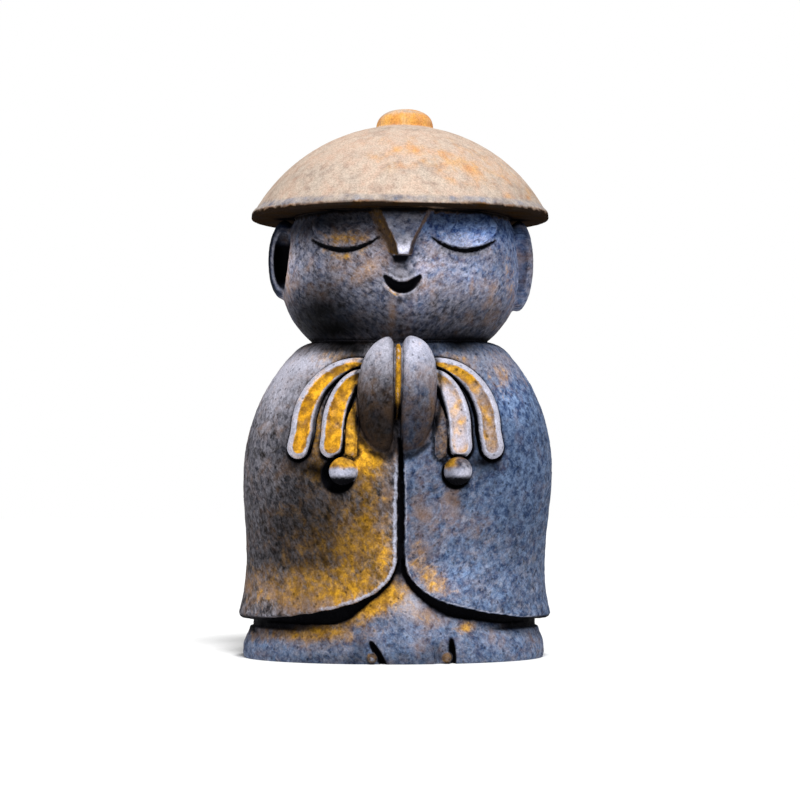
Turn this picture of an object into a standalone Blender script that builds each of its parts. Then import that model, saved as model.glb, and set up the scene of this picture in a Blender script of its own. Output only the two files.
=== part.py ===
"""Monk statue: a small cast figure in a domed hat, hands palm to palm.

One solid casting, in metres, +Z up, facing -Y. The origin is on the ground,
under the middle of the hem. The figure leans a little to its left, +X.
"""

import math

import bmesh
import bpy
from mathutils import Matrix, Vector

# Cloak: half widths across the figure, and heights above the ground
CLOAK_RADIUS = 0.0846
CLOAK_WIDE_Z = 0.100
SHOULDER_RISE = 0.092
NECK_Z = 0.1715
WAIST_RADIUS = 0.0818
WAIST_Z = 0.052
HEM_RADIUS = 0.0854
HEM_Z = 0.0242
HEM_UNDERCUT = 0.0082
UNDERCUT_SLOPE = 1.05
DEPTH_SHARE = 0.82
LEAN = 0.024

# Front opening of the cloak: a slit that spreads into the hem
SLIT_WIDTH = 0.0036
SLIT_TOP_Z = 0.118
HEM_CURVE_RISE = 0.0086
OPENING_HALF_WIDTH = 0.060
OPENING_FADE = 0.026
OPENING_DEPTH_SHARE = 0.5
OPENING_SHIFT = 0.0013

# Inner robe, which spreads into the low foot that the figure stands on
FOOT_RADIUS = 0.0826
FOOT_EDGE = 0.0022
FOOT_LIP_Z = 0.0075
ANKLE_RADIUS = 0.0792
ANKLE_Z = 0.0158
ROBE_RADIUS = 0.0745
ROBE_TOP_Z = 0.124

# Head: a ball that is taller above its widest line than below it
HEAD_RADIUS = 0.0654
HEAD_DEPTH_SHARE = 0.95
HEAD_LOWER = 0.0504
HEAD_UPPER = 0.075
CHIN_SINK = 0.0153
HEAD_SHIFT = -0.0010

# Face and ears, as shares of the head's half width: heights from its widest
# line, half axes across, front to back and upwards
EYE_MIDDLE, EYE_HALF, EYE_RISE, EYE_SAG = 0.48, 0.27, 0.25, 0.10
EYE_GROOVE = (0.010, 0.028)
MOUTH_HALF, MOUTH_RISE, MOUTH_SAG = 0.15, -0.05, 0.085
MOUTH_GROOVE = (0.012, 0.046)
LIP_RISE, LIP_SINK, LIP_AXES = -0.01, 0.03, (0.10, 0.06, 0.08)
NOSE_BROW_RISE, NOSE_TIP_RISE = 0.56, 0.11
NOSE_BROW_HALF, NOSE_TIP_HALF, NOSE_SPREAD = 0.17, 0.065, 1.7
NOSE_OUT, NOSE_ROOT, NOSE_ROUND = 0.115, 0.12, 0.03
EAR_MIDDLE, EAR_AXES = (0.985, 0.02, 0.17), (0.130, 0.17, 0.33)
EAR_BOWL_MIDDLE, EAR_BOWL_AXES = (1.010, -0.12, 0.17), (0.075, 0.14, 0.21)

# Hat: a round cap of a sphere with a thin lip and a button
HAT_RADIUS = 0.0812
HAT_ARC_RADIUS = 0.091
HAT_DOME_RISE = 0.0512
HAT_LIP = 0.0019
HAT_RIM_THICKNESS = 0.0049
HAT_LIFT = 0.0329
HAT_SHIFT = -0.0022
BUTTON_SHIFT = 0.0014
BUTTON_RADIUS = 0.0156
BUTTON_RISE = 0.0094
BUTTON_SQUARENESS = 2.4

# Hands and sleeves
ARMS_SHIFT = -0.0034
HAND_HALF_WIDTH = 0.0104
HAND_HALF_DEPTH = 0.0175
HAND_HALF_HEIGHT = 0.0300
HAND_Z = 0.1425
HAND_REACH = 0.0015
HAND_STRAIGHTNESS = 0.85
HAND_GAP = 0.0012
SLEEVE_CHANNEL_SHARE = 0.60
SLEEVE_CHANNEL_LIFT = 0.92
BALL_RADIUS = 0.0074
BALL_X = 0.0300
BALL_Z = 0.1020

# Folds of each sleeve: name, middle and half axes of its arc, lowest end, half
# width. The arc and the ends are measured from the middle of the arms.
SLEEVE_FOLDS = (
    ("outer_fold", (0.0200, 0.1220), (0.0315, 0.0350), 0.1075, 0.0066),
    ("inner_fold", (0.0170, 0.1200), (0.0153, 0.0310), 0.1080, 0.0068),
)
CUFF_FOLD = ("cuff_fold", (0.0140, 0.1200), (0.0110, 0.0200), 0.1080, 0.0034)

# Feet: the middle of each recess across, half width of each, and their shape
TOE_X = (-0.0165, 0.0235)
TOE_HALF_WIDTH = (0.0060, 0.0045)
TOE_RECESS_Z, TOE_RECESS_DEPTH, TOE_RECESS_RISE = 0.0045, 0.0060, 0.0105
TOE_TILT = math.radians(14)
TOE_SHARE, TOE_INSET, TOE_RISE, TOE_CLEARANCE = 0.8, 0.0040, 0.0075, 0.0005

# Sides of the round forms
BODY_SIDES = 48
HAT_SIDES = 52
BUTTON_SIDES = 28
ARC_STEPS = 6

HEAD_Z = NECK_Z + HEAD_LOWER - CHIN_SINK
HAT_RIM_Z = HEAD_Z + HAT_LIFT


def mix(a, b, share):
    """The value that lies a share of the way from a to b."""
    return a + (b - a) * share


def leaning(obj):
    """Shears an object with the lean of the whole figure."""
    shear = Matrix.Identity(4)
    shear[0][2] = LEAN
    shear[0][3] = -LEAN * HEM_Z
    obj.data.transform(shear)
    return obj


def cloak_radius(z):
    """Half width of the cloak at height z."""
    if z >= CLOAK_WIDE_Z:
        rise = (z - CLOAK_WIDE_Z) / SHOULDER_RISE
        return CLOAK_RADIUS * math.sqrt(1 - rise * rise)
    if z >= WAIST_Z:
        fall = (CLOAK_WIDE_Z - z) / (CLOAK_WIDE_Z - WAIST_Z)
        return mix(CLOAK_RADIUS, WAIST_RADIUS, (1 - math.cos(math.pi * fall)) / 2)
    flare = (WAIST_Z - z) / (WAIST_Z - HEM_Z)
    return mix(WAIST_RADIUS, HEM_RADIUS, flare * flare)


def cloak_front(x, z):
    """Where the front of the cloak is, in y, at x and z."""
    return -DEPTH_SHARE * math.sqrt(cloak_radius(z) ** 2 - x * x)


def head_radius(z):
    """Half width of the head at height z."""
    half_height = HEAD_UPPER if z > HEAD_Z else HEAD_LOWER
    rise = (z - HEAD_Z) / half_height
    return HEAD_RADIUS * math.sqrt(max(0.0, 1 - rise * rise))


def head_front(x, z):
    """Where the front of the head is, in y, at x from its middle and at z."""
    return -HEAD_DEPTH_SHARE * math.sqrt(head_radius(z) ** 2 - x * x)


def link(name, mesh, collection):
    """Puts a mesh or curve in a collection as a named object."""
    obj = bpy.data.objects.new(name, mesh)
    collection.objects.link(obj)
    return obj


def as_tool(obj):
    """Marks an object as one that only shapes the figure."""
    obj.hide_render = True
    obj.display_type = "WIRE"
    return obj


def frozen(obj, collection):
    """The object as a plain mesh object of the same name, caps welded."""
    name = obj.name
    bpy.context.view_layer.update()
    evaluated = obj.evaluated_get(bpy.context.evaluated_depsgraph_get())
    mesh = bpy.data.meshes.new_from_object(evaluated)
    matrix = obj.matrix_world.copy()
    bpy.data.objects.remove(obj)
    bm = bmesh.new()
    bm.from_mesh(mesh)
    bmesh.ops.remove_doubles(bm, verts=bm.verts, dist=1e-6)
    bm.to_mesh(mesh)
    bm.free()
    plain = link(name, mesh, collection)
    plain.matrix_world = matrix
    return plain


def turned(name, profile, sides, collection, depth_share=1.0):
    """A solid turned about +Z from its outer side, given from top to bottom."""
    mesh = bpy.data.meshes.new(name)
    points = [(radius, 0.0, z) for radius, z in profile]
    mesh.from_pydata(points, [(i, i + 1) for i in range(len(points) - 1)], [])
    obj = link(name, mesh, collection)
    screw = obj.modifiers.new("Turn", "SCREW")
    screw.steps = sides
    screw.render_steps = sides
    screw.use_merge_vertices = True
    screw.merge_threshold = 0.00001
    solid = frozen(obj, collection)
    solid.data.transform(Matrix.Diagonal((1.0, depth_share, 1.0, 1.0)))
    return solid


def ellipsoid(name, centre, half_axes, collection, turn=0.0, segments=16, rings=10):
    """A ball stretched to half_axes, turned about Y and moved to its centre."""
    mesh = bpy.data.meshes.new(name)
    bm = bmesh.new()
    bmesh.ops.create_uvsphere(bm, u_segments=segments, v_segments=rings, radius=1.0)
    place = Matrix.Translation(centre) @ Matrix.Rotation(turn, 4, "Y")
    bm.transform(place @ Matrix.Diagonal((*half_axes, 1.0)))
    bm.to_mesh(mesh)
    bm.free()
    return as_tool(link(name, mesh, collection))


def tube(name, points, radii, collection, resolution=3):
    """A round bar along points, with a radius at each of them."""
    curve = bpy.data.curves.new(name, "CURVE")
    curve.dimensions = "3D"
    curve.bevel_depth = 1.0
    curve.bevel_resolution = resolution
    curve.use_fill_caps = True
    spline = curve.splines.new("POLY")
    spline.points.add(len(points) - 1)
    for target, point, radius in zip(spline.points, points, radii):
        target.co = (*point, 1.0)
        target.radius = radius
    return as_tool(frozen(link(name, curve, collection), collection))


def extruded(name, outline, near, far, collection):
    """A flat outline of x and z, stretched along y from near to far."""
    curve = bpy.data.curves.new(name, "CURVE")
    curve.dimensions = "2D"
    curve.fill_mode = "BOTH"
    curve.extrude = abs(far - near) / 2
    spline = curve.splines.new("POLY")
    spline.points.add(len(outline) - 1)
    for target, (x, z) in zip(spline.points, outline):
        target.co = (x, z, 0.0, 1.0)
    spline.use_cyclic_u = True
    obj = frozen(link(name, curve, collection), collection)
    upright = Matrix.Rotation(math.radians(90), 4, "X")
    obj.data.transform(Matrix.Translation((0.0, (near + far) / 2, 0.0)) @ upright)
    return as_tool(obj)


def combine(body, steps):
    """Joins each tool to the body with UNION, or cuts it off with DIFFERENCE."""
    for operation, tool in steps:
        boolean = body.modifiers.new(f"{operation.title()} {tool.name}", "BOOLEAN")
        boolean.operation = operation
        boolean.solver = "EXACT"
        boolean.object = tool


def cloak_profile():
    """The cloak's outer side, from the middle of its neck to under its hem."""
    shoulder_z = NECK_Z - 0.0025
    profile = [(0.0, NECK_Z + 0.001), (head_radius(NECK_Z) + 0.004, NECK_Z)]
    shoulder_steps = 8
    for step in range(shoulder_steps + 1):
        turn = math.asin((shoulder_z - CLOAK_WIDE_Z) / SHOULDER_RISE)
        z = CLOAK_WIDE_Z + SHOULDER_RISE * math.sin(turn * (1 - step / shoulder_steps))
        profile.append((cloak_radius(z), z))
    skirt_steps = 7
    for step in range(1, skirt_steps + 1):
        z = mix(CLOAK_WIDE_Z, HEM_Z, step / skirt_steps)
        profile.append((cloak_radius(z), z))
    under_z = HEM_Z - HEM_UNDERCUT * UNDERCUT_SLOPE
    profile.append((HEM_RADIUS - HEM_UNDERCUT, under_z))
    profile.append((0.0, under_z))
    return profile


def cloak_opening(collection):
    """The cutter of the slit and of the wide curve that it opens into."""
    steps = 9
    slit_half = SLIT_WIDTH / 2
    right = [(slit_half, SLIT_TOP_Z)]
    for step in range(steps + 1):
        x = slit_half * (OPENING_HALF_WIDTH / slit_half) ** (step / steps)
        right.append((x, HEM_Z + HEM_CURVE_RISE * math.log(OPENING_HALF_WIDTH / x)))
    low_z = HEM_Z - 2 * HEM_UNDERCUT * UNDERCUT_SLOPE
    right.append((OPENING_HALF_WIDTH + OPENING_FADE, low_z))
    left = [(-x, z) for x, z in reversed(right)]
    front = -1.3 * DEPTH_SHARE * HEM_RADIUS
    back = -OPENING_DEPTH_SHARE * DEPTH_SHARE * HEM_RADIUS
    outline = [(OPENING_SHIFT + x, z) for x, z in right + left]
    return extruded("cloak_opening", outline, front, back, collection)


def foot_profile():
    """The inner robe's side, from its hidden top to the ground."""
    hidden_z = HEM_Z + 0.45 * (ROBE_TOP_Z - HEM_Z)
    return [
        (0.0, ROBE_TOP_Z),
        (0.9 * ROBE_RADIUS, ROBE_TOP_Z),
        (ROBE_RADIUS, ROBE_TOP_Z - 0.1 * ROBE_RADIUS),
        (ROBE_RADIUS, hidden_z),
        (mix(ROBE_RADIUS, ANKLE_RADIUS, 0.45), mix(hidden_z, ANKLE_Z, 0.5)),
        (mix(ROBE_RADIUS, ANKLE_RADIUS, 0.80), mix(hidden_z, ANKLE_Z, 0.8)),
        (ANKLE_RADIUS, ANKLE_Z),
        (mix(ANKLE_RADIUS, FOOT_RADIUS, 0.6), mix(ANKLE_Z, FOOT_LIP_Z, 0.6)),
        (mix(ANKLE_RADIUS, FOOT_RADIUS, 0.9), FOOT_LIP_Z),
        (FOOT_RADIUS, FOOT_EDGE),
        (FOOT_RADIUS - FOOT_EDGE / 3, 0.0),
        (0.0, 0.0),
    ]


def head_profile():
    """The head's side, from its top inside the hat to its sunk chin."""
    top_z = HAT_RIM_Z + 0.25 * HAT_DOME_RISE
    profile = [(0.0, top_z)]
    upper_steps = 4
    for step in range(upper_steps):
        z = mix(top_z, HEAD_Z, step / upper_steps)
        profile.append((head_radius(z), z))
    lower_steps = 10
    for step in range(lower_steps):
        turn = math.radians(90) * step / lower_steps
        z = HEAD_Z - HEAD_LOWER * math.sin(turn)
        profile.append((head_radius(z), z))
    profile.append((0.0, HEAD_Z - HEAD_LOWER))
    return profile


def dome_z(radius):
    """Height of the hat's dome at a distance from its axis."""
    drop = HAT_ARC_RADIUS - math.sqrt(HAT_ARC_RADIUS ** 2 - radius ** 2)
    return HAT_RIM_Z + HAT_DOME_RISE - drop


def hat_profile():
    """The hat's side, over the dome and the lip to the flat below."""
    dome_end = HAT_RADIUS - HAT_LIP
    dome_steps = 10
    dome = [math.sin(math.asin(dome_end / HAT_ARC_RADIUS) * step / dome_steps) * HAT_ARC_RADIUS
            for step in range(dome_steps + 1)]
    rim_top = dome_z(dome_end)
    return [(radius, dome_z(radius)) for radius in dome] + [
        (HAT_RADIUS, rim_top - 0.2 * HAT_RIM_THICKNESS),
        (HAT_RADIUS, rim_top - 0.65 * HAT_RIM_THICKNESS),
        (dome_end, rim_top - HAT_RIM_THICKNESS),
        (0.0, rim_top - HAT_RIM_THICKNESS),
    ]


def button_profile():
    """The button's side, a flat-topped ball that sits in the top of the dome."""
    base_z = dome_z(BUTTON_RADIUS)
    top_z = HAT_RIM_Z + HAT_DOME_RISE + BUTTON_RISE
    profile = []
    for step in range(ARC_STEPS + 1):
        share = math.sin(math.radians(90) * step / ARC_STEPS)
        rise = (1 - share ** BUTTON_SQUARENESS) ** (1 / BUTTON_SQUARENESS)
        profile.append((BUTTON_RADIUS * share, mix(base_z, top_z, rise)))
    sunk_z = base_z - HAT_RIM_THICKNESS
    return profile + [(BUTTON_RADIUS, sunk_z), (0.0, sunk_z)]


def make_hat(collection):
    """The hat and its button, each set a little to one side."""
    hat = turned("hat", hat_profile(), HAT_SIDES, collection)
    hat.data.transform(Matrix.Translation((HAT_SHIFT, 0.0, 0.0)))
    button = turned("button", button_profile(), BUTTON_SIDES, collection)
    button.data.transform(Matrix.Translation((HAT_SHIFT + BUTTON_SHIFT, 0.0, 0.0)))
    return as_tool(hat), as_tool(button)


def face_point(x_share, rise_share, out=0.0):
    """A point on the face, by shares of the head's half width and upper height."""
    x = x_share * HEAD_RADIUS
    z = HEAD_Z + rise_share * HEAD_RADIUS
    return Vector((x + HEAD_SHIFT, head_front(x, z) - out, z))


def groove(name, middle, half, rise, sag, widths, collection, resolution):
    """The cutter of a groove on the face that hangs between two corners."""
    steps = 8
    points, radii = [], []
    for step in range(steps + 1):
        along = 2 * step / steps - 1
        deep = 1 - along * along
        points.append(face_point(middle + half * along, rise - sag * deep))
        radii.append(HEAD_RADIUS * mix(*widths, deep))
    return tube(name, points, radii, collection, resolution)


def make_eye(side, collection):
    """The groove of one closed lid."""
    name = "eye_left" if side < 0 else "eye_right"
    return groove(name, side * EYE_MIDDLE, EYE_HALF, EYE_RISE, EYE_SAG, EYE_GROOVE, collection, 1)


def make_mouth(collection):
    """The crescent of a smile, deepest in its middle."""
    return groove("mouth", 0.0, MOUTH_HALF, MOUTH_RISE, MOUTH_SAG, MOUTH_GROOVE, collection, 2)


def make_nose(collection):
    """A wedge, wide at the brow and narrow and proud at its tip."""
    mesh = bpy.data.meshes.new("nose")
    bm = bmesh.new()
    bmesh.ops.create_cube(bm, size=2.0)
    for vert in bm.verts:
        at_brow, in_front = vert.co.z > 0, vert.co.y < 0
        half_width = NOSE_BROW_HALF if at_brow else NOSE_TIP_HALF
        out = 0.0 if at_brow else NOSE_OUT
        if not in_front:
            half_width *= NOSE_SPREAD
            out = -NOSE_ROOT
        rise = NOSE_BROW_RISE if at_brow else NOSE_TIP_RISE
        across = math.copysign(half_width * HEAD_RADIUS, vert.co.x)
        vert.co = face_point(0.0, rise, out * HEAD_RADIUS) + Vector((across, 0.0, 0.0))
    bmesh.ops.bevel(bm, geom=bm.edges, offset=NOSE_ROUND * HEAD_RADIUS, segments=2, affect="EDGES",
                    profile=0.5)
    bm.to_mesh(mesh)
    bm.free()
    return as_tool(link("nose", mesh, collection))


def make_ear(side, collection):
    """One ear, and the cutter of its bowl."""
    name = "left" if side < 0 else "right"
    solids = []
    for label, middle, axes in (("ear", EAR_MIDDLE, EAR_AXES), ("ear_bowl", EAR_BOWL_MIDDLE, EAR_BOWL_AXES)):
        x, y, z = (share * HEAD_RADIUS for share in middle)
        centre = (HEAD_SHIFT + side * x, y, HEAD_Z + z)
        solids.append(ellipsoid(f"{label}_{name}", centre, [share * HEAD_RADIUS for share in axes], collection))
    return solids


def make_hand(side, collection):
    """One hand, a long bean on its end, nearly straight where the palms meet."""
    name = "hand_left" if side < 0 else "hand_right"
    hand = ellipsoid(name, (0.0, 0.0, 0.0), (HAND_HALF_WIDTH, HAND_HALF_DEPTH, HAND_HALF_HEIGHT),
                     collection, segments=18, rings=12)
    middle = Vector((ARMS_SHIFT + side * (HAND_HALF_WIDTH + HAND_GAP),
                     cloak_front(0.0, HAND_Z) - HAND_REACH, HAND_Z))
    for vert in hand.data.vertices:
        along = min(1.0, abs(vert.co.z) / HAND_HALF_HEIGHT)
        vert.co.x -= side * HAND_STRAIGHTNESS * HAND_HALF_WIDTH * (1 - math.sqrt(1 - along * along))
        vert.co += middle
    return hand


def sleeve_path(side, centre, half_axes, end_z):
    """Points of one fold: from the wrist over an arc and straight down."""
    steps = 8
    first = math.radians(-20)
    spots = []
    for step in range(steps + 1):
        turn = mix(first, math.radians(90), step / steps)
        spots.append((centre[0] + half_axes[0] * math.sin(turn), centre[1] + half_axes[1] * math.cos(turn)))
    spots.append((spots[-1][0], end_z))
    points = []
    for x, z in spots:
        place = ARMS_SHIFT + side * x
        points.append(Vector((place, cloak_front(place, z), z)))
    return points


def make_sleeve(side, fold, collection):
    """One fold of a sleeve, a fat bar with a round end, and its channel's cutter."""
    name, centre, half_axes, end_z, width = fold
    side_name = "left" if side < 0 else "right"
    path = sleeve_path(side, centre, half_axes, end_z + width)
    last = len(path) - 1
    radii = [width * mix(0.55, 1.0, min(1.0, 1.6 * i / last)) for i in range(last + 1)]
    bar = tube(f"{name}_{side_name}", path, radii, collection, resolution=2)
    end = ellipsoid(f"{name}_end_{side_name}", path[-1], (width * 0.99,) * 3, collection,
                    segments=12, rings=8)
    raised = [point + Vector((0.0, -SLEEVE_CHANNEL_LIFT * width, 0.0)) for point in path]
    channel = tube(f"{name}_channel_{side_name}", raised, [SLEEVE_CHANNEL_SHARE * r for r in radii],
                   collection, resolution=1)
    return bar, end, channel


def make_toe(side, collection):
    """The tip of one foot just clear of the ground, and the cutter of its recess."""
    name, index = ("left", 0) if side < 0 else ("right", 1)
    x, half_width = TOE_X[index], TOE_HALF_WIDTH[index]
    front = -DEPTH_SHARE * math.sqrt(FOOT_RADIUS ** 2 - x * x)
    recess = ellipsoid(f"toe_recess_{name}", (x, front, TOE_RECESS_Z),
                       (half_width, TOE_RECESS_DEPTH, TOE_RECESS_RISE), collection, turn=side * -TOE_TILT)
    half_height = (TOE_RISE - TOE_CLEARANCE) / 2
    toe = ellipsoid(f"toe_{name}", (x, front + TOE_INSET, TOE_CLEARANCE + half_height),
                    (TOE_SHARE * half_width, TOE_RECESS_DEPTH, half_height), collection)
    return recess, toe


def stone():
    """Cast stone under a dark grey wash."""
    material = bpy.data.materials.new("dark_washed_cast_stone")
    material.use_nodes = True
    shader = material.node_tree.nodes["Principled BSDF"]
    shader.inputs["Base Color"].default_value = (0.105, 0.105, 0.115, 1.0)
    shader.inputs["Roughness"].default_value = 0.8
    shader.inputs["Metallic"].default_value = 0.0
    return material


def make_face(collection):
    """What is joined to the head, and what is cut from it, in turn."""
    lip = ellipsoid("upper_lip", face_point(0.0, LIP_RISE, -LIP_SINK * HEAD_RADIUS),
                    [share * HEAD_RADIUS for share in LIP_AXES], collection)
    steps = []
    for side in (-1, 1):
        ear, bowl = make_ear(side, collection)
        steps += [("UNION", ear), ("DIFFERENCE", bowl), ("DIFFERENCE", make_eye(side, collection))]
    return steps + [("DIFFERENCE", make_mouth(collection)), ("UNION", lip),
                    ("UNION", make_nose(collection))]


def make_arms(collection):
    """The folds of both sleeves, their balls and the two hands."""
    steps = []
    for side in (-1, 1):
        side_name = "left" if side < 0 else "right"
        for fold in SLEEVE_FOLDS:
            bar, end, channel = make_sleeve(side, fold, collection)
            steps += [("UNION", bar), ("UNION", end), ("DIFFERENCE", channel)]
        cuff_bar, cuff_end, _ = make_sleeve(side, CUFF_FOLD, collection)
        ball_x = ARMS_SHIFT + side * BALL_X
        ball = ellipsoid(f"ball_{side_name}", (ball_x, cloak_front(ball_x, BALL_Z) - BALL_RADIUS / 3, BALL_Z),
                         (BALL_RADIUS,) * 3, collection, segments=14, rings=8)
        steps += [("UNION", cuff_bar), ("UNION", ball), ("UNION", make_hand(side, collection))]
    return steps


def make_feet(collection):
    """A recess under the robe for each foot, and the tip of its toe."""
    steps = []
    for side in (-1, 1):
        recess, toe = make_toe(side, collection)
        steps += [("DIFFERENCE", recess), ("UNION", toe)]
    return steps


def main():
    """Builds the figure."""
    for obj in list(bpy.data.objects):
        bpy.data.objects.remove(obj)
    figure = bpy.data.collections.new("Monk statue")
    tools = bpy.data.collections.new("Shaping tools")
    for collection in (figure, tools):
        bpy.context.scene.collection.children.link(collection)

    statue = turned("monk_statue", cloak_profile(), BODY_SIDES, figure, DEPTH_SHARE)
    leaning(statue)
    statue.data.materials.append(stone())

    foot = turned("inner_robe", foot_profile(), BODY_SIDES, tools, DEPTH_SHARE)
    head = turned("head", head_profile(), BODY_SIDES, tools, HEAD_DEPTH_SHARE)
    head.data.transform(Matrix.Translation((HEAD_SHIFT, 0.0, 0.0)))
    hat, button = make_hat(tools)
    combine(statue, [("DIFFERENCE", cloak_opening(tools))])
    steps = [("UNION", as_tool(foot)), ("UNION", as_tool(head))]
    steps += make_face(tools)
    steps += [("UNION", hat), ("UNION", button)]
    steps += make_arms(tools)
    for _, tool in steps:
        leaning(tool)
    combine(statue, steps)
    combine(statue, make_feet(tools))


main()
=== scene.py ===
"""Monk statue: a small cast stone figure in a domed hat, washed with dark, slate and ochre paint.

The figure is carved as one distance field from the same sizes as its solid, drawn out as one
mesh, given its brushed relief by Geometry Nodes, and dressed with layered washes.
All lengths are metres. +Z is up, the figure faces -Y, and it leans a little to its left, +X.
The forms are carved upright, and the finished mesh is sheared with the lean.
"""

import logging
import math
from dataclasses import dataclass, field, fields
from enum import Enum, IntEnum
from typing import Callable

import bpy
import numpy as np
from bpy.types import GeometryNodeTree, Material, Mesh, Node, NodeTree, Object
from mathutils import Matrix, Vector

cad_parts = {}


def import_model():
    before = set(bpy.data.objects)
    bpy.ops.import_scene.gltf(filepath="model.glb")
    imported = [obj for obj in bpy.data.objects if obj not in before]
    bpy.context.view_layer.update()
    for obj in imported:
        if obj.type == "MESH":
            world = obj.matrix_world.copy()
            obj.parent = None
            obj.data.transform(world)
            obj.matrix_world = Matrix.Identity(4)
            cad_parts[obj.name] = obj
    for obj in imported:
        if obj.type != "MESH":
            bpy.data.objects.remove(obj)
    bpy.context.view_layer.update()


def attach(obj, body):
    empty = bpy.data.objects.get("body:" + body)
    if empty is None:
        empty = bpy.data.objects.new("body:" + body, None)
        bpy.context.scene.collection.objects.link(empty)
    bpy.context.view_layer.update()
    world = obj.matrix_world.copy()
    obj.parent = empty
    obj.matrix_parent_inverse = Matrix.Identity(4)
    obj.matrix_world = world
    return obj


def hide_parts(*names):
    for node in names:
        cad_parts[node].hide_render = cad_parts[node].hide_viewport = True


log = logging.getLogger("monk_statue")

Array = np.ndarray
Point = tuple[float, float, float]
Ends = tuple[float, float]
Row = tuple[float, ...]
Amount = float | Array
Paint = tuple[int, int, int]
Socket = bpy.types.NodeSocket
Distance = Callable[[Array, Array, Array], Array]

# Distances in metres: well away from every form, two widths of seam, and the step of a profile's table.
FAR = 1.0
CRISP = 0.0006
SOFT = 0.0012
TABLE_STEP = 0.0002


class Side(Enum):
    """Which side of the figure, as the viewer sees it."""

    LEFT = -1
    RIGHT = 1

    @property
    def label(self) -> str:
        """Returns the side's name as the names of the forms end with it."""
        return self.name.lower()


class Action(Enum):
    """How a form changes the body that it meets."""

    JOIN = "join"
    CUT = "cut"


JOIN, CUT = Action.JOIN, Action.CUT


class Region(IntEnum):
    """The parts of the surface that are washed differently."""

    CLOAK = 0
    ROBE = 1
    HEAD = 2
    HAT = 3


def both(*names: str) -> list[str]:
    """Returns the names of forms that come in pairs, one for each side."""
    return [f"{name}_{side.label}" for name in names for side in Side]


def mix(a: float, b: float, share: float) -> float:
    """Returns the value a share of the way from a to b."""
    return a + (b - a) * share


def ramp(low: float, high: float, value: Array) -> Array:
    """Returns a smooth step from 0 at low to 1 at high."""
    share = np.clip((value - low) / (high - low), 0.0, 1.0)
    return share * share * (3.0 - 2.0 * share)


def band(rise: Ends, fall: Ends, value: Array) -> Array:
    """Returns 1 between two smooth steps, and 0 outside them."""
    return ramp(*rise, value) * ramp(*fall, value)


def join(body: Array, tool: Array, blend: float) -> Array:
    """Joins two distances with a soft seam.

    Args:
        body: distance to the first form.
        tool: distance to the second form.
        blend: width of the seam.

    Returns:
        The distance to both together.
    """
    share = np.clip(0.5 + 0.5 * (tool - body) / blend, 0.0, 1.0)
    return tool + (body - tool) * share - blend * share * (1.0 - share)


def meet(body: Array, tool: Array, blend: float) -> Array:
    """Returns the distance to what two forms share, with a soft edge."""
    return -join(-body, -tool, blend)


def cut(body: Array, tool: Array, blend: float) -> Array:
    """Returns the distance to a body with a tool's space taken away, with a soft edge."""
    return -join(-body, tool, blend)


def ball(x: Array, y: Array, z: Array, middle: Point, half: tuple[Amount, ...]) -> Array:
    """Distance to a ball stretched to three half axes.

    Args:
        x, y, z: where to measure.
        middle: the ball's centre.
        half: its half axes, each a number or an array.

    Returns:
        The distance, below zero inside.
    """
    p, q, r = ((v - m) / h for v, m, h in zip((x, y, z), middle, half))
    near = np.sqrt(p * p + q * q + r * r) + 1e-6
    steep = np.sqrt((p / half[0]) ** 2 + (q / half[1]) ** 2 + (r / half[2]) ** 2) + 1e-6
    return near * (near - 1.0) / steep


def swept(x: Array, y: Array, z: Array, path: list[Point], radii: list[float]) -> Array:
    """Distance to a round bar along a path.

    Args:
        x, y, z: where to measure.
        path: the points of its centre line.
        radii: its radius at each point.

    Returns:
        The distance, below zero inside.
    """
    nearest = None
    for start, end, first, last in zip(path, path[1:], radii, radii[1:]):
        run = [e - s for s, e in zip(start, end)]
        length = sum(c * c for c in run) + 1e-12
        dx, dy, dz = x - start[0], y - start[1], z - start[2]
        along = np.clip((dx * run[0] + dy * run[1] + dz * run[2]) / length, 0.0, 1.0)
        gap = np.sqrt((dx - along * run[0]) ** 2 + (dy - along * run[1]) ** 2 + (dz - along * run[2]) ** 2)
        gap = gap - (first + (last - first) * along)
        nearest = gap if nearest is None else np.minimum(nearest, gap)
    return nearest


def turned(x: Array, y: Array, z: Array, heights: Array, widths: Array, depth_share: float) -> Array:
    """Distance to an oval solid turned about +Z.

    Args:
        x, y, z: where to measure.
        heights: heights of its profile, rising.
        widths: its half width at each of them.
        depth_share: its depth as a share of its width.

    Returns:
        The distance to its side.
    """
    width = np.interp(z, heights, widths).astype(np.float32)
    slope = np.interp(z, heights, np.gradient(widths, heights)).astype(np.float32)
    out = np.sqrt(x * x + (y / depth_share) ** 2) + 1e-6
    steep = np.sqrt((x / out) ** 2 + (y / (depth_share * depth_share * out)) ** 2 + slope * slope)
    return (out - width) / np.maximum(steep, 0.2)


def softened(heights: Array, widths: Array, reach: float) -> Array:
    """Returns a profile whose corners are rounded over a reach of height."""
    step = heights[1] - heights[0]
    count = max(1, int(round(reach / step)))
    weights = np.hanning(2 * count + 3)
    padded = np.pad(widths, count + 1, mode="edge")
    return np.convolve(padded, weights / weights.sum(), mode="valid")


def oval(middle: Point, half: Point) -> Distance:
    """Returns the distance to a stretched ball, still to be measured."""
    return lambda x, y, z: ball(x, y, z, middle, half)


def bar(path: list[Point], radii: list[float], grow: float = 0.0) -> Distance:
    """Returns the distance to a round bar, grown by a little, still to be measured."""
    return lambda x, y, z: swept(x, y, z, path, radii) - grow


def box_round(path: list[Point], reach: float) -> tuple[Point, Point]:
    """Returns the corners of the box that holds a path and a reach round it."""
    return (tuple(min(p[i] for p in path) - reach for i in range(3)),
            tuple(max(p[i] for p in path) + reach for i in range(3)))


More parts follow.
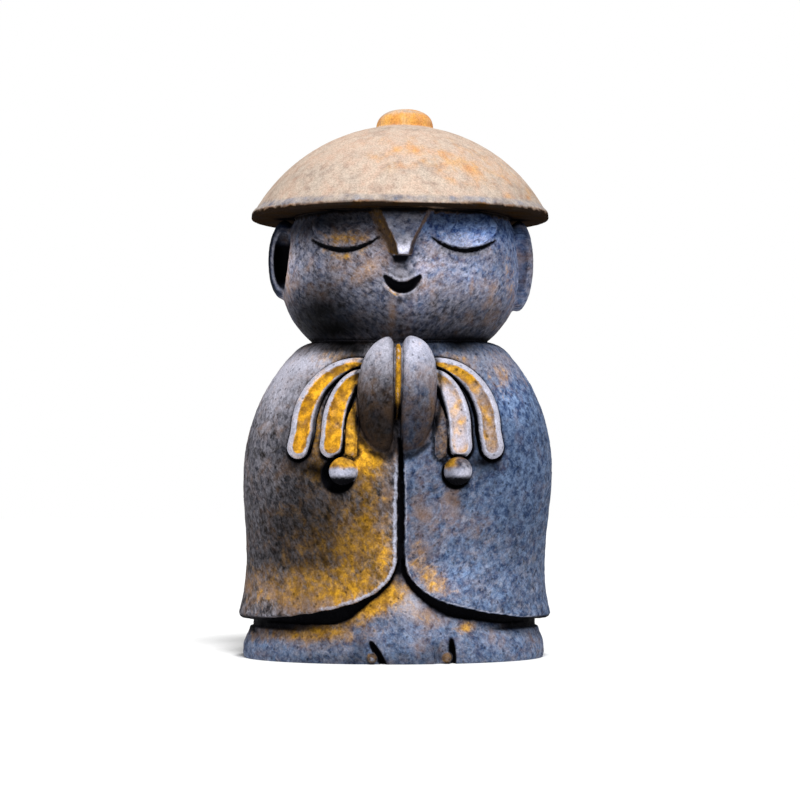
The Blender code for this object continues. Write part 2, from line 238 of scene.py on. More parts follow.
@dataclass
class Form:
    """A form that is joined to the figure or cut from it, and the box that holds it."""

    name: str
    action: Action
    blend: float
    low: Point
    high: Point
    distance: Distance

    def onto(self, body: Array, x: Array, y: Array, z: Array) -> Array:
        """Joins the form to a body, or cuts it from the body.

        Args:
            body: distance to the body.
            x, y, z: where to measure.

        Returns:
            The distance to the two together.
        """
        tool = self.distance(x, y, z).astype(np.float32)
        return (join if self.action is JOIN else cut)(body, tool, self.blend)


def local(name: str, action: Action, blend: float, middle: Point, reach: Point, distance: Distance) -> Form:
    """Returns a form whose box is given by its middle and its reach."""
    low = tuple(m - r for m, r in zip(middle, reach))
    high = tuple(m + r for m, r in zip(middle, reach))
    return Form(name, action, blend, low, high, distance)


@dataclass
class Stance:
    """The lean of the whole figure, and the box and the grid step that it is carved with."""

    lean: float = 0.024
    lean_from_z: float = 0.0242
    low: Point = (-0.089, -0.085, -0.0035)
    high: Point = (0.089, 0.085, 0.304)
    pitch: float = 0.00062
    quick_pitch: float = 0.0011
    triangles: int = 192000

    def shift(self, z: Array) -> Array:
        """Returns how far the lean moves a point at height z."""
        return self.lean * (z - self.lean_from_z)

    def leaned(self, points: Array, way: int = 1) -> Array:
        """Returns a copy of the points with the lean put in, or taken out where the way is -1."""
        moved = points.copy()
        moved[:, 0] += way * self.shift(moved[:, 2])
        return moved


@dataclass
class Cloak:
    """The long cloak, open from a slit at the chest to the hem."""

    stance: Stance
    radius: float = 0.0846
    wide_z: float = 0.1
    shoulder_rise: float = 0.092
    neck_z: float = 0.1715
    neck_lap: float = 0.0006
    neck_blend: float = 0.005
    collar_z: float = 0.186
    waist_radius: float = 0.0818
    waist_z: float = 0.052
    hem_radius: float = 0.0854
    hem_z: float = 0.0242
    hem_thickness: float = 0.004
    undercut_slope: float = 1.05
    depth_share: float = 0.82
    slit_half: float = 0.0019
    slit_top_half: float = 0.001
    slit_top_z: float = 0.118
    slit_taper: Ends = (0.082, 0.03)
    curve_rise: float = 0.0086
    opening_half: float = 0.06
    opening_fade: float = 0.026
    opening_shift: float = 0.0013
    opening_back: float = 0.5
    edge_bead: float = 0.0006
    edge_bead_width: float = 0.0016
    edge_wear: float = 0.00014
    corner: float = 0.0011

    def __post_init__(self) -> None:
        """Draws the profile and the half width of the opening as tables over height."""
        self.heights = np.arange(0.0, 0.195, TABLE_STEP)
        self.widths = softened(self.heights, np.array([self.girth(z) for z in self.heights]), self.corner)
        self.gap_heights = np.arange(0.0, 0.125, TABLE_STEP)
        self.gap_widths = np.array([self.gap(z) for z in self.gap_heights])

    def girth(self, z: float) -> float:
        """Returns the half width of the cloak at height z."""
        if z >= self.wide_z:
            rise = min(1.0, (z - self.wide_z) / self.shoulder_rise)
            return self.radius * math.sqrt(1 - rise * rise)
        if z >= self.waist_z:
            fall = (self.wide_z - z) / (self.wide_z - self.waist_z)
            return mix(self.radius, self.waist_radius, (1 - math.cos(math.pi * fall)) / 2)
        if z >= self.hem_z:
            flare = (self.waist_z - z) / (self.waist_z - self.hem_z)
            return mix(self.waist_radius, self.hem_radius, flare * flare)
        return self.hem_radius - (self.hem_z - z) / self.undercut_slope

    def gap(self, z: float) -> float:
        """Returns the half width of the front opening at height z."""
        if z < self.hem_z:
            return mix(self.opening_half, self.opening_half + self.opening_fade,
                       min(1.0, (self.hem_z - z) / self.hem_thickness))
        taper_z, taper_rise = self.slit_taper
        slit = mix(self.slit_half, self.slit_top_half, min(1.0, max(0.0, (z - taper_z) / taper_rise)))
        return max(slit, self.opening_half * math.exp(-(z - self.hem_z) / self.curve_rise))

    def front(self, x: float, z: float) -> float:
        """Returns where the front of the cloak is, in y, at x and z."""
        return -self.depth_share * math.sqrt(self.girth(z) ** 2 - x * x)

    def worn(self, x: Array, z: Array) -> Array:
        """Returns how far the hand-cut edge strays at each place."""
        return self.edge_wear * (np.sin(410 * x + 520 * z) + 0.8 * np.sin(1130 * z - 870 * x + 1.0)
                                 + 0.5 * np.sin(1900 * x + 2100 * z))

    def from_edge(self, x: Array, z: Array) -> Array:
        """Returns the distance on the front from the edge of the opening, below zero inside it."""
        across = np.abs(x + self.stance.shift(z) - self.opening_shift)
        half = np.interp(z, self.gap_heights, self.gap_widths).astype(np.float32)
        slope = np.interp(z, self.gap_heights, np.gradient(self.gap_widths, self.gap_heights))
        edge = np.maximum(across - half, z - self.slit_top_z) / np.sqrt(1 + slope.astype(np.float32) ** 2)
        return edge + self.worn(x, z)

    def distance(self, x: Array, y: Array, z: Array) -> Array:
        """Returns the distance to the cloak, with a low bead along its front edges."""
        side = turned(x, y, z, self.heights, self.widths, self.depth_share)
        edge = self.from_edge(x, z)
        bead = np.exp(-(((edge - self.edge_bead_width) / self.edge_bead_width) ** 2))
        side = side - self.edge_bead * bead * (y < 0)
        top = meet(side, z - self.neck_z - self.neck_lap, self.neck_blend)
        return meet(top, self.hem_z - self.hem_thickness - z + self.worn(x, z), 0.0008)

    def opening(self, x: Array, y: Array, z: Array) -> Array:
        """Returns the distance to the space that the front opening takes."""
        back = -self.opening_back * self.depth_share * self.hem_radius
        return np.maximum(self.from_edge(x, z), y - back)

    def opened(self, x: Array, y: Array, z: Array) -> Array:
        """Returns the distance to the cloak with its opening taken out."""
        return cut(self.distance(x, y, z), self.opening(x, y, z), 0.001)

    def forms(self) -> list[Form]:
        """Returns the cloak and its opening."""
        reach = self.hem_radius + 0.003
        return [
            Form("cloak", JOIN, 0.0005, (-reach, -reach, 0.0), (reach, reach, 0.18), self.distance),
            Form("opening", CUT, 0.0022, (-reach, -reach, -0.01), (reach, 0.0, 0.122), self.opening),
        ]


@dataclass
class InnerRobe:
    """The inner robe, which spreads into the low foot that the figure stands on, and its toes."""

    stance: Stance
    cloak: Cloak
    foot_radius: float = 0.0826
    foot_edge: float = 0.0022
    foot_lip_z: float = 0.0075
    ankle_radius: float = 0.0792
    ankle_z: float = 0.0158
    robe_radius: float = 0.0745
    robe_top_z: float = 0.124
    toe_x: Ends = (-0.0104, 0.0284)
    toe_half_width: Ends = (0.006, 0.0045)
    toe_recess_z: float = 0.0045
    toe_recess_depth: float = 0.0068
    toe_recess_rise: float = 0.0092
    toe_tilt: Ends = (30.0, 3.0)
    toe_rise: float = 0.0062
    toe_reach: Point = (0.014, 0.014, 0.02)
    shade_depth: float = 0.0035
    shade_low: Ends = (0.0009, 0.0046)
    shade_low_left: float = 0.0078
    shade_low_right: float = 0.003
    shade_high: float = 0.0004
    shade_from_z: float = 0.014
    shade_fade: Ends = (0.078, 0.06)
    shade_left_fade: Ends = (-0.016, -0.04)
    shade_slit_fade: Ends = (0.005, 0.03)
    groove_half: float = 0.0022
    groove_depth: float = 0.0018
    groove_lap: float = 0.0014
    groove_side_fade: Ends = (0.04, 0.06)
    groove_back_fade: Ends = (-0.02, 0.0)
    corner: float = 0.0016

    def __post_init__(self) -> None:
        """Draws the profile as a table over height."""
        hidden_z = self.cloak.hem_z + 0.45 * (self.robe_top_z - self.cloak.hem_z)
        robe, ankle, foot = self.robe_radius, self.ankle_radius, self.foot_radius
        points = [
            (0.0, foot - self.foot_edge / 3), (self.foot_edge, foot),
            (self.foot_lip_z, mix(ankle, foot, 0.9)),
            (mix(self.ankle_z, self.foot_lip_z, 0.6), mix(ankle, foot, 0.6)),
            (self.ankle_z, ankle), (mix(hidden_z, self.ankle_z, 0.8), mix(robe, ankle, 0.8)),
            (mix(hidden_z, self.ankle_z, 0.5), mix(robe, ankle, 0.45)), (hidden_z, robe),
            (self.robe_top_z, robe),
        ]
        self.heights = np.arange(-0.002, 0.126, TABLE_STEP)
        widths = np.interp(self.heights, [z for z, _ in points], [w for _, w in points])
        self.widths = softened(self.heights, widths, self.corner)

    def distance(self, x: Array, y: Array, z: Array) -> Array:
        """Returns the distance to the inner robe and its foot."""
        side = turned(x, y, z, self.heights, self.widths, self.cloak.depth_share)
        return np.maximum(side, z - self.robe_top_z)

    def undercut(self, x: Array, y: Array, z: Array) -> Array:
        """Returns the distance to the dark groove behind the edges of the cloak's front."""
        edge = self.cloak.from_edge(x, z)
        strip = np.maximum(edge + self.shade_high, -edge - self.shade_width(x))
        deep = -self.distance(x, y, z) - self.shade_depth * ramp(*self.shade_fade, np.abs(x))
        return np.maximum(np.maximum(strip, deep), np.maximum(y, self.shade_from_z - z))

    def shade_width(self, x: Array) -> Array:
        """Returns how far the dark groove reaches from the edge, narrow near the slit."""
        near = np.where(x > self.cloak.opening_shift, self.shade_low_right, self.shade_low[0])
        far = mix(self.shade_low[1], self.shade_low_left, ramp(*self.shade_left_fade, x))
        return mix(near, far, ramp(*self.shade_slit_fade, np.abs(x)))

    def groove(self, x: Array, y: Array, z: Array) -> Array:
        """Returns the distance to the groove that runs round the robe under the hem."""
        middle = self.cloak.hem_z - self.cloak.hem_thickness - self.groove_half + self.groove_lap
        depth = self.groove_depth * np.maximum(ramp(*self.groove_side_fade, np.abs(x)),
                                               ramp(*self.groove_back_fade, y))
        return np.maximum(np.abs(z - middle) - self.groove_half, -self.distance(x, y, z) - depth)

    def toe_front(self, x: float) -> float:
        """Returns where the front of the foot is, in y, at x."""
        return -self.cloak.depth_share * math.sqrt(self.foot_radius ** 2 - x * x)

    def tilted(self, index: int, middle: Point, half: Point) -> Distance:
        """Makes the distance to a ball that tilts with its foot.

        Args:
            index: 0 for the foot on the viewer's left, 1 for the other.
            middle: the ball's centre on the leaned figure.
            half: its half axes.

        Returns:
            The distance as a function of x, y and z.
        """
        turn = math.radians(self.toe_tilt[index])

        def distance(x: Array, y: Array, z: Array) -> Array:
            """Returns the distance to the tilted ball."""
            across, up = x + self.stance.shift(z) - middle[0], z - middle[2]
            along = across * math.cos(turn) + up * math.sin(turn)
            rise = up * math.cos(turn) - across * math.sin(turn)
            return ball(along, y, rise, (0.0, middle[1], 0.0), half)

        return distance

    def forms(self) -> list[Form]:
        """Returns the robe, and for each foot its recess and its toe."""
        reach = self.foot_radius + 0.002
        made = [
            Form("inner_robe", JOIN, 0.0005, (-reach, -reach, -0.002), (reach, reach, 0.126),
                 self.distance),
            Form("undercut", CUT, SOFT, (-reach, -reach, 0.01), (reach, 0.0, 0.055), self.undercut),
            Form("groove", CUT, SOFT, (-reach, -reach, 0.01), (reach, reach, 0.024), self.groove),
        ]
        deep, tall, z = self.toe_recess_depth, self.toe_recess_rise, self.toe_recess_z
        for index, x in enumerate(self.toe_x):
            wide, front = self.toe_half_width[index], self.toe_front(x)
            for label, action, blend, place, half in (
                ("toe_hollow", CUT, 0.002, (x - 0.85 * wide, front - 0.001, z - 0.001),
                 (1.2 * wide, 0.0034, tall)),
                ("toe_recess", CUT, CRISP, (x, front, z), (0.0017, deep, tall)),
                ("toe", JOIN, SOFT, (x - 0.6 * wide, front + 0.0046, self.toe_rise / 2),
                 (0.0026, deep, 0.42 * self.toe_rise)),
            ):
                made.append(local(f"{label}_{index}", action, blend, (x, front, z), self.toe_reach,
                                  self.tilted(index, place, half)))
        return made


@dataclass
class Head:
    """The round head with its face and ears. The face's sizes are shares of the head's half width."""

    cloak: Cloak
    radius: float = 0.0654
    depth_share: float = 0.95
    lower: float = 0.0504
    upper: float = 0.075
    chin_sink: float = 0.0153
    shift: float = -0.001
    eye_middle: float = 0.48
    eye_half: float = 0.27
    eye_rise: float = 0.275
    eye_sag: float = 0.1
    eye_groove: Ends = (0.006, 0.019)
    lid_rise: float = 0.365
    lid_axes: Point = (0.27, 0.055, 0.15)
    lid_sink: float = 0.04
    middle: float = -0.015
    mouth_half: float = 0.14
    mouth_rise: float = -0.05
    mouth_sag: float = 0.085
    mouth_groove: Ends = (0.012, 0.046)
    lip_rise: float = -0.03
    lip_sink: float = 0.022
    lip_axes: Point = (0.105, 0.065, 0.075)
    low_lip_reach: float = 1.08
    low_lip_drop: float = 0.052
    low_lip_radii: Ends = (0.004, 0.02)
    nose_brow_rise: float = 0.6
    nose_tip_rise: float = 0.125
    nose_shares: Row = (0.0, 0.19, 0.44, 0.65, 1.0)
    nose_facet: Row = (0.036, 0.058, 0.115, 0.162, 0.22)
    nose_root: Row = (0.074, 0.096, 0.15, 0.205, 0.27)
    nose_out_shares: Row = (0.0, 0.4, 0.75, 1.0)
    nose_out: Row = (0.115, 0.092, 0.06, 0.03)
    nose_bevel: float = 0.001
    nose_under: float = 0.2
    path_steps: int = 20
    ear_middle: Point = (0.985, 0.02, 0.17)
    ear_axes: Point = (0.13, 0.17, 0.33)
    bowl_middle: Point = (0.985, -0.14, 0.16)
    bowl_axes: Point = (0.08, 0.16, 0.25)
    shallow_bowl_axes: Point = (0.07, 0.07, 0.25)
    low_ear_drop: float = 0.05

    def __post_init__(self) -> None:
        """Finds the height of the head's widest line."""
        self.middle_z = self.cloak.neck_z + self.lower - self.chin_sink

    def distance(self, x: Array, y: Array, z: Array) -> Array:
        """Returns the distance to the ball of the head."""
        half_z = np.where(z > self.middle_z, self.upper, self.lower).astype(np.float32)
        half = (self.radius, self.radius * self.depth_share, half_z)
        return ball(x, y, z, (self.shift, 0.0, self.middle_z), half)

    def spot(self, across: float, rise: float, out: float = 0.0) -> Point:
        """Finds a point on the face.

        Args:
            across: its place to the side, as a share of the head's half width.
            rise: its height over the widest line, the same way.
            out: how far it stands out of the face, the same way.

        Returns:
            The point on the upright figure.
        """
        x, up = across * self.radius, rise * self.radius
        share = up / (self.upper if up > 0 else self.lower)
        width = self.radius * math.sqrt(1 - share * share)
        front = -self.depth_share * math.sqrt(width * width - x * x)
        return (x + self.shift, front - out * self.radius, self.middle_z + up)

    def along(self) -> list[float]:
        """Returns places along a hanging path, from -1 at one end to 1 at the other."""
        return [2 * step / self.path_steps - 1 for step in range(self.path_steps + 1)]

    def hanging(self, middle: float, half: float, rise: float, sag: float) -> list[Point]:
        """Returns a path on the face that hangs between two corners."""
        return [self.spot(middle + half * a, rise - sag * (1 - a * a)) for a in self.along()]

    def tapered(self, ends: float, middle: float) -> list[float]:
        """Returns radii along a hanging path, from shares at its ends and its middle."""
        return [self.radius * mix(ends, middle, 1 - a ** 2) for a in self.along()]

    def scaled(self, shares: Point) -> Point:
        """Returns lengths from shares of the head's half width."""
        return tuple(share * self.radius for share in shares)

    def stroke(self, name: str, action: Action, blend: float, path: list[Point], radii: list[float]) -> Form:
        """Returns a form that follows a path on the face."""
        return Form(name, action, blend, *box_round(path, max(radii) + 4 * blend), bar(path, radii))

    def eye_path(self, side: Side) -> list[Point]:
        """Returns the line of one closed lid."""
        return self.hanging(side.value * self.eye_middle, self.eye_half, self.eye_rise, self.eye_sag)

    def from_nose(self, x: Array) -> Array:
        """Returns how far x is to the side of the middle of the nose."""
        return x - self.shift - self.middle * self.radius

    def nose_sizes(self, z: Array) -> tuple[Array, Array, Array, Array, Array]:
        """Finds the nose's sizes at a height.

        Args:
            z: the height.

        Returns:
            The half widths of its facet and of its root, how far it stands out, the face's place in y
            behind it, and how far the height is below the tip.
        """
        rise = (z - self.middle_z) / self.radius
        share = np.clip((rise - self.nose_tip_rise) / (self.nose_brow_rise - self.nose_tip_rise), 0.0, 1.0)
        facet = np.interp(share, self.nose_shares, self.nose_facet) * self.radius
        root = np.interp(share, self.nose_shares, self.nose_root) * self.radius
        out = np.interp(share, self.nose_out_shares, self.nose_out) * self.radius
        up = rise * self.radius / self.upper
        face = -self.depth_share * self.radius * np.sqrt(np.clip(1 - up * up, 0.01, 1.0))
        return facet, root, out, face, (self.nose_tip_rise - rise) * self.radius

    def nose(self, x: Array, y: Array, z: Array) -> Array:
        """Returns the distance to the nose: a flat facet, wide at the brow, on a broader root."""
        facet, root, out, face, below = self.nose_sizes(z)
        proud = face - y
        depth = np.clip(proud / (out + self.nose_bevel), -1.5, 1.0)
        width = root + (facet - root) * depth
        across = np.abs(self.from_nose(x))
        side = (across - width) / np.sqrt(1 + ((root - facet) / (out + self.nose_bevel)) ** 2)
        shape = meet(side, proud - out, 0.0008)
        return meet(shape, below, SOFT).astype(np.float32)

    def ear(self, side: Side) -> list[Form]:
        """Returns one ear and its bowl. The ear on the viewer's right hangs lower, with a shallow bowl."""
        left = side is Side.LEFT
        drop, bowl = (0.0, self.bowl_axes) if left else (self.low_ear_drop, self.shallow_bowl_axes)
        made = []
        for label, action, middle, axes, blend in (
            ("ear", JOIN, self.ear_middle, self.ear_axes, 0.002),
            ("ear_bowl", CUT, self.bowl_middle, bowl, SOFT),
        ):
            centre = (self.shift + side.value * middle[0] * self.radius, middle[1] * self.radius,
                      self.middle_z + (middle[2] - drop) * self.radius)
            half = (axes[0] * self.radius, axes[1] * self.radius, (axes[2] + drop) * self.radius)
            reach = tuple(h + 0.005 for h in half)
            made.append(local(f"{label}_{side.label}", action, blend, centre, reach, oval(centre, half)))
        return made

    def forms(self) -> list[Form]:
        """Returns the head, its ears and its face in the order they are carved."""
        reach = self.radius + 0.004
        made = [Form("head", JOIN, 0.0008, (-reach, -reach, 0.15), (reach, reach, 0.262), self.distance)]
        for side in Side:
            made += self.ear(side)
            centre = self.spot(side.value * self.eye_middle, self.lid_rise, -self.lid_sink)
            made.append(local(f"lid_{side.label}", JOIN, 0.003, centre, (0.024, 0.01, 0.016),
                              oval(centre, self.scaled(self.lid_axes))))
            made.append(self.stroke(f"eye_{side.label}", CUT, CRISP, self.eye_path(side),
                                    self.tapered(*self.eye_groove)))
        mouth = self.hanging(self.middle, self.mouth_half, self.mouth_rise, self.mouth_sag)
        rim = self.hanging(self.middle, self.low_lip_reach * self.mouth_half,
                           self.mouth_rise - self.low_lip_drop, self.mouth_sag)
        lip = self.spot(self.middle, self.lip_rise, -self.lip_sink)
        tip, brow = self.nose_tip_rise, self.nose_brow_rise
        nose_middle = (self.shift, -self.depth_share * self.radius,
                       self.middle_z + mix(tip, brow, 0.5) * self.radius)
        nose_reach = (0.018, 0.016, (brow + self.nose_under) * self.radius / 2)
        made += [
            self.stroke("lower_lip", JOIN, 0.0016, rim, self.tapered(*self.low_lip_radii)),
            self.stroke("mouth", CUT, CRISP, mouth, self.tapered(*self.mouth_groove)),
            local("upper_lip", JOIN, SOFT, lip, (0.011, 0.009, 0.009),
                  oval(lip, self.scaled(self.lip_axes))),
            local("nose", JOIN, 0.0014, nose_middle, nose_reach, self.nose),
        ]
        return made


@dataclass
class Hat:
    """The wide domed hat with a beaded rim, and the button on its top."""

    head: Head
    radius: float = 0.0812
    arc_radius: float = 0.091
    dome_rise: float = 0.0512
    rim_thickness: float = 0.0049
    lift: float = 0.0329
    shift: float = -0.0022
    button_shift: float = 0.0014
    button_radius: float = 0.0156
    button_rise: float = 0.0094
    button_squareness: float = 2.4
    hollow_rise: float = 0.0016
    hollow_share: float = 0.93

    def __post_init__(self) -> None:
        """Finds the heights of the rim and of the dome's centre."""
        self.rim_z = self.head.middle_z + self.lift
        self.centre_z = self.rim_z + self.dome_rise - self.arc_radius

    def distance(self, x: Array, y: Array, z: Array) -> Array:
        """Returns the distance to the hat."""
        out = np.sqrt((x - self.shift) ** 2 + y * y)
        dome = np.sqrt(out * out + (z - self.centre_z) ** 2) - self.arc_radius
        hollow = self.hollow_rise * np.clip(1 - (out / (self.hollow_share * self.radius)) ** 2, 0.0, 1.0)
        shell = meet(dome, self.rim_z + hollow - z, 0.0008)
        bead = np.sqrt((out - self.radius + self.rim_thickness / 2) ** 2
                       + (z - self.rim_z - self.rim_thickness / 2) ** 2) - self.rim_thickness / 2
        return join(shell, bead, SOFT)

    def button(self, x: Array, y: Array, z: Array) -> Array:
        """Returns the distance to the button."""
        power = self.button_squareness
        base = self.centre_z + math.sqrt(self.arc_radius ** 2 - self.button_radius ** 2)
        height = self.rim_z + self.dome_rise + self.button_rise - base
        out = np.sqrt((x - self.shift - self.button_shift) ** 2 + y * y) / self.button_radius
        up = np.clip((z - base) / height, 0.0, 4.0)
        return ((out ** power + up ** power) ** (1 / power) - 1.0) * height

    def forms(self) -> list[Form]:
        """Returns the hat and its button."""
        reach = self.radius + 0.004
        top = self.rim_z + self.dome_rise
        return [
            Form("hat", JOIN, CRISP, (-reach, -reach, self.rim_z - 0.002), (reach, reach, top + 0.002),
                 self.distance),
            Form("button", JOIN, SOFT, (-0.022, -0.022, top - 0.006), (0.022, 0.022, top + 0.013),
                 self.button),
        ]


@dataclass
class Fold:
    """One fold of a sleeve: its arc, its lowest end, its half width and how far the end spreads."""

    name: str
    middle: Ends
    half: Ends
    end_z: float
    width: float
    channel: float = 0.58
    spread: float = 0.0


@dataclass
class Arms:
    """The praying hands, the sleeve folds beside them and the ball under each sleeve."""

    cloak: Cloak
    shift: float = -0.0034
    hand_half_width: float = 0.0104
    hand_half_depth: float = 0.0175
    hand_half_height: float = 0.03
    hand_z: float = 0.1425
    hand_reach: float = 0.0015
    hand_gap: float = 0.0019
    hand_drop: float = 0.0022
    palm_blend: float = 0.0052
    hand_power: float = 2.2
    hand_tip_powers: Ends = (2.3, 2.9)
    hand_end_power: float = 2.5
    channel_lift: float = 0.92
    ball_radius: float = 0.0074
    ball_x: float = 0.03
    ball_z: float = 0.102
    ball_slide: float = 0.0026
    ball_sag: float = 0.0008
    ball_reach: Point = (0.012, 0.012, 0.012)
    socket_room: Ends = (0.0018, 0.0008)
    socket_moves: Ends = (0.0, 1.0)
    folds: list[Fold] = field(default_factory=lambda: [
        Fold("outer_fold", (0.02, 0.122), (0.029, 0.035), 0.1075, 0.0064, 0.46, 0.0018),
        Fold("inner_fold", (0.017, 0.12), (0.016, 0.031), 0.108, 0.0064, 0.6, 0.0006),
        Fold("cuff_fold", (0.014, 0.12), (0.0098, 0.02), 0.108, 0.003, 0.0),
    ])
    fold_steps: tuple[int, int] = (22, 6)
    fold_reach: float = 0.0125
    trench: float = 0.0013
    core_half: Point = (0.0034, 0.015, 0.02)
    core_z: float = 0.148

    def path(self, side: Side, fold: Fold) -> tuple[list[Point], list[float]]:
        """Finds the centre line of a fold, from the wrist over its arc and straight down.

        Args:
            side: the side that it is on.
            fold: the fold.

        Returns:
            The points on the cloak, and the radius at each.
        """
        (middle_x, middle_z), (half_x, half_z), (steps, down) = fold.middle, fold.half, self.fold_steps
        turns = [mix(math.radians(-20), math.radians(90), step / steps) for step in range(steps + 1)]
        line = [(middle_x + half_x * math.sin(turn), middle_z + half_z * math.cos(turn)) for turn in turns]
        last_x, last_z = line[-1]
        line += [(last_x + fold.spread * step / down, mix(last_z, fold.end_z + fold.width, step / down))
                 for step in range(1, down + 1)]
        path, radii = [], []
        for index, (across, z) in enumerate(line):
            x = self.shift + side.value * across
            path.append((x, self.cloak.front(x, z), z))
            radii.append(fold.width * mix(0.55, 1.0, min(1.0, 1.6 * index / (len(line) - 1))))
        return path, radii

    def raised(self, path: list[Point], radii: list[float], fold: Fold) -> tuple[list[Point], list[float]]:
        """Returns the line and radii of the channel in a fold's top."""
        lifted = [(x, y - self.channel_lift * fold.width, z) for x, y, z in path]
        return lifted, [fold.channel * r for r in radii]

    def hand(self, side: Side) -> Distance:
        """Returns the distance to one hand, a half oval whose flat palm faces the other."""
        y = self.cloak.front(0.0, self.hand_z) - self.hand_reach
        width = 2 * self.hand_half_width
        tip = self.hand_tip_powers[side is Side.RIGHT]

        def distance(px: Array, py: Array, pz: Array) -> Array:
            """Returns the distance to the hand."""
            across = side.value * (px - self.shift)
            up = (pz - self.hand_z) / (self.hand_half_height + self.hand_drop * (pz < self.hand_z))
            out, deep = np.clip(across, 0.0, 1.0) / width, (py - y) / self.hand_half_depth
            power = np.where(up < 0, self.hand_end_power, tip).astype(np.float32)
            flat = (out ** self.hand_power + np.abs(deep) ** self.hand_power) ** (1 / self.hand_power)
            near = (flat ** power + np.abs(up) ** power) ** (1 / power)
            return meet((near - 1.0) * (width * 0.75), self.hand_gap - across, self.palm_blend)

        return distance

    def forms(self) -> list[Form]:
        """Returns the folds, balls and hands in the order they are carved."""
        made = []
        for index, side in enumerate(Side):
            for fold in self.folds:
                path, radii = self.path(side, fold)
                box = box_round(path, self.fold_reach)
                for label, action, blend, distance in (
                    ("_trench", CUT, 0.001, bar(path, radii, self.trench)),
                    ("", JOIN, CRISP, bar(path, radii)),
                    ("_channel", CUT, SOFT, bar(*self.raised(path, radii, fold))),
                ):
                    if fold.channel or not label:
                        made.append(Form(f"{fold.name}{label}_{side.label}", action, blend, *box, distance))
            x = self.shift + side.value * self.ball_x
            middle = (x, self.cloak.front(x, self.ball_z) - self.ball_radius / 3, self.ball_z)
            for label, action, grow, hung in (
                ("ball_ring", CUT, self.socket_room[index], self.socket_moves[index]),
                ("ball", JOIN, 0.0, 1.0),
            ):
                half = (self.ball_radius + grow,) * 3
                centre = (middle[0] + hung * self.ball_slide, middle[1] + 1.5 * grow,
                          middle[2] - 1.6 * grow - hung * self.ball_sag)
                made.append(local(f"{label}_{side.label}", action, CRISP, centre, self.ball_reach,
                                  oval(centre, half)))
        y = self.cloak.front(0.0, self.hand_z) - self.hand_reach
        core = (self.shift, y, self.core_z)
        made.append(local("palm_core", JOIN, CRISP, core, (0.006, 0.018, 0.02),
                          oval(core, self.core_half)))
        for side in Side:
            centre = (self.shift + side.value * self.hand_half_width, y, self.hand_z)
            made.append(local(f"hand_{side.label}", JOIN, CRISP, centre, (0.015, 0.022, 0.038),
                              self.hand(side)))
        return made


@dataclass
class Grid:
    """A box of evenly spaced points that a distance is measured at."""

    low: Point
    high: Point
    pitch: float

    def __post_init__(self) -> None:
        """Lays out the points along each axis."""
        self.lines = [np.arange(a, b + self.pitch, self.pitch, dtype=np.float32)
                      for a, b in zip(self.low, self.high)]

    def window(self, form: Form) -> tuple[slice, ...]:
        """Returns the part of the grid that a form's box covers."""
        spans = []
        for line, a, b in zip(self.lines, form.low, form.high):
            first = int(np.searchsorted(line, a))
            spans.append(slice(first, max(first, int(np.searchsorted(line, b)))))
        return tuple(spans)

    def carve(self, forms: list[Form]) -> Array:
        """Measures the distance to all the forms, combined in order.

        Args:
            forms: what is joined and cut, in turn.

        Returns:
            The distance at every point of the grid.
        """
        distance = np.full([len(line) for line in self.lines], FAR, np.float32)
        for form in forms:
            window = self.window(form)
            x, y, z = (line[part] for line, part in zip(self.lines, window))
            distance[window] = form.onto(distance[window], x[:, None, None], y[None, :, None],
                                         z[None, None, :])
        return np.maximum(distance, -self.lines[2][None, None, :])

    def net(self, distance: Array) -> tuple[Array, Array]:
        """Draws the surface where the distance is zero.

        Args:
            distance: the distance at every point of the grid.

        Returns:
            The places of its points, and its four-sided faces.
        """
        inside = distance < 0
        nx, ny, nz = inside.shape
        corners = [(i, j, k) for i in (0, 1) for j in (0, 1) for k in (0, 1)]
        count = np.zeros((nx - 1, ny - 1, nz - 1), np.uint8)
        for i, j, k in corners:
            count += inside[i:nx - 1 + i, j:ny - 1 + j, k:nz - 1 + k]
        active = (count > 0) & (count < 8)
        cells = np.argwhere(active).astype(np.int32)
        index = np.full(active.shape, -1, np.int32)
        index[active] = np.arange(len(cells), dtype=np.int32)
        total, hits = np.zeros((len(cells), 3), np.float32), np.zeros(len(cells), np.float32)
        values = {c: distance[cells[:, 0] + c[0], cells[:, 1] + c[1], cells[:, 2] + c[2]] for c in corners}
        for first in corners:
            for axis in range(3):
                if first[axis]:
                    continue
                second = tuple(v + (n == axis) for n, v in enumerate(first))
                a, b = values[first], values[second]
                crossed = (a < 0) != (b < 0)
                share = np.where(crossed, a / np.where(crossed, a - b, 1.0), 0.0)
                for n in range(3):
                    total[:, n] += np.where(crossed, first[n] + (share if n == axis else 0.0), 0.0)
                hits += crossed
        places = (cells + total / hits[:, None]) * self.pitch + np.array([line[0] for line in self.lines])
        faces = []
        for axis in range(3):
            near, far = [slice(1, -1)] * 3, [slice(1, -1)] * 3
            near[axis], far[axis] = slice(0, -1), slice(1, None)
            a, b = inside[tuple(near)], inside[tuple(far)]
            spots = np.argwhere(a != b)
            filled = a[tuple(spots.T)]
            spots[:, [n for n in range(3) if n != axis]] += 1
            u, v = [(1, 2), (2, 0), (0, 1)][axis]
            ring = []
            for du, dv in ((-1, -1), (0, -1), (0, 0), (-1, 0)):
                cell = spots.copy()
                cell[:, u] += du
                cell[:, v] += dv
                ring.append(index[tuple(cell.T)])
            ring = np.stack(ring, 1)
            ring[~filled] = ring[~filled][:, ::-1]
            faces.append(ring)
        return places.astype(np.float32), np.concatenate(faces)


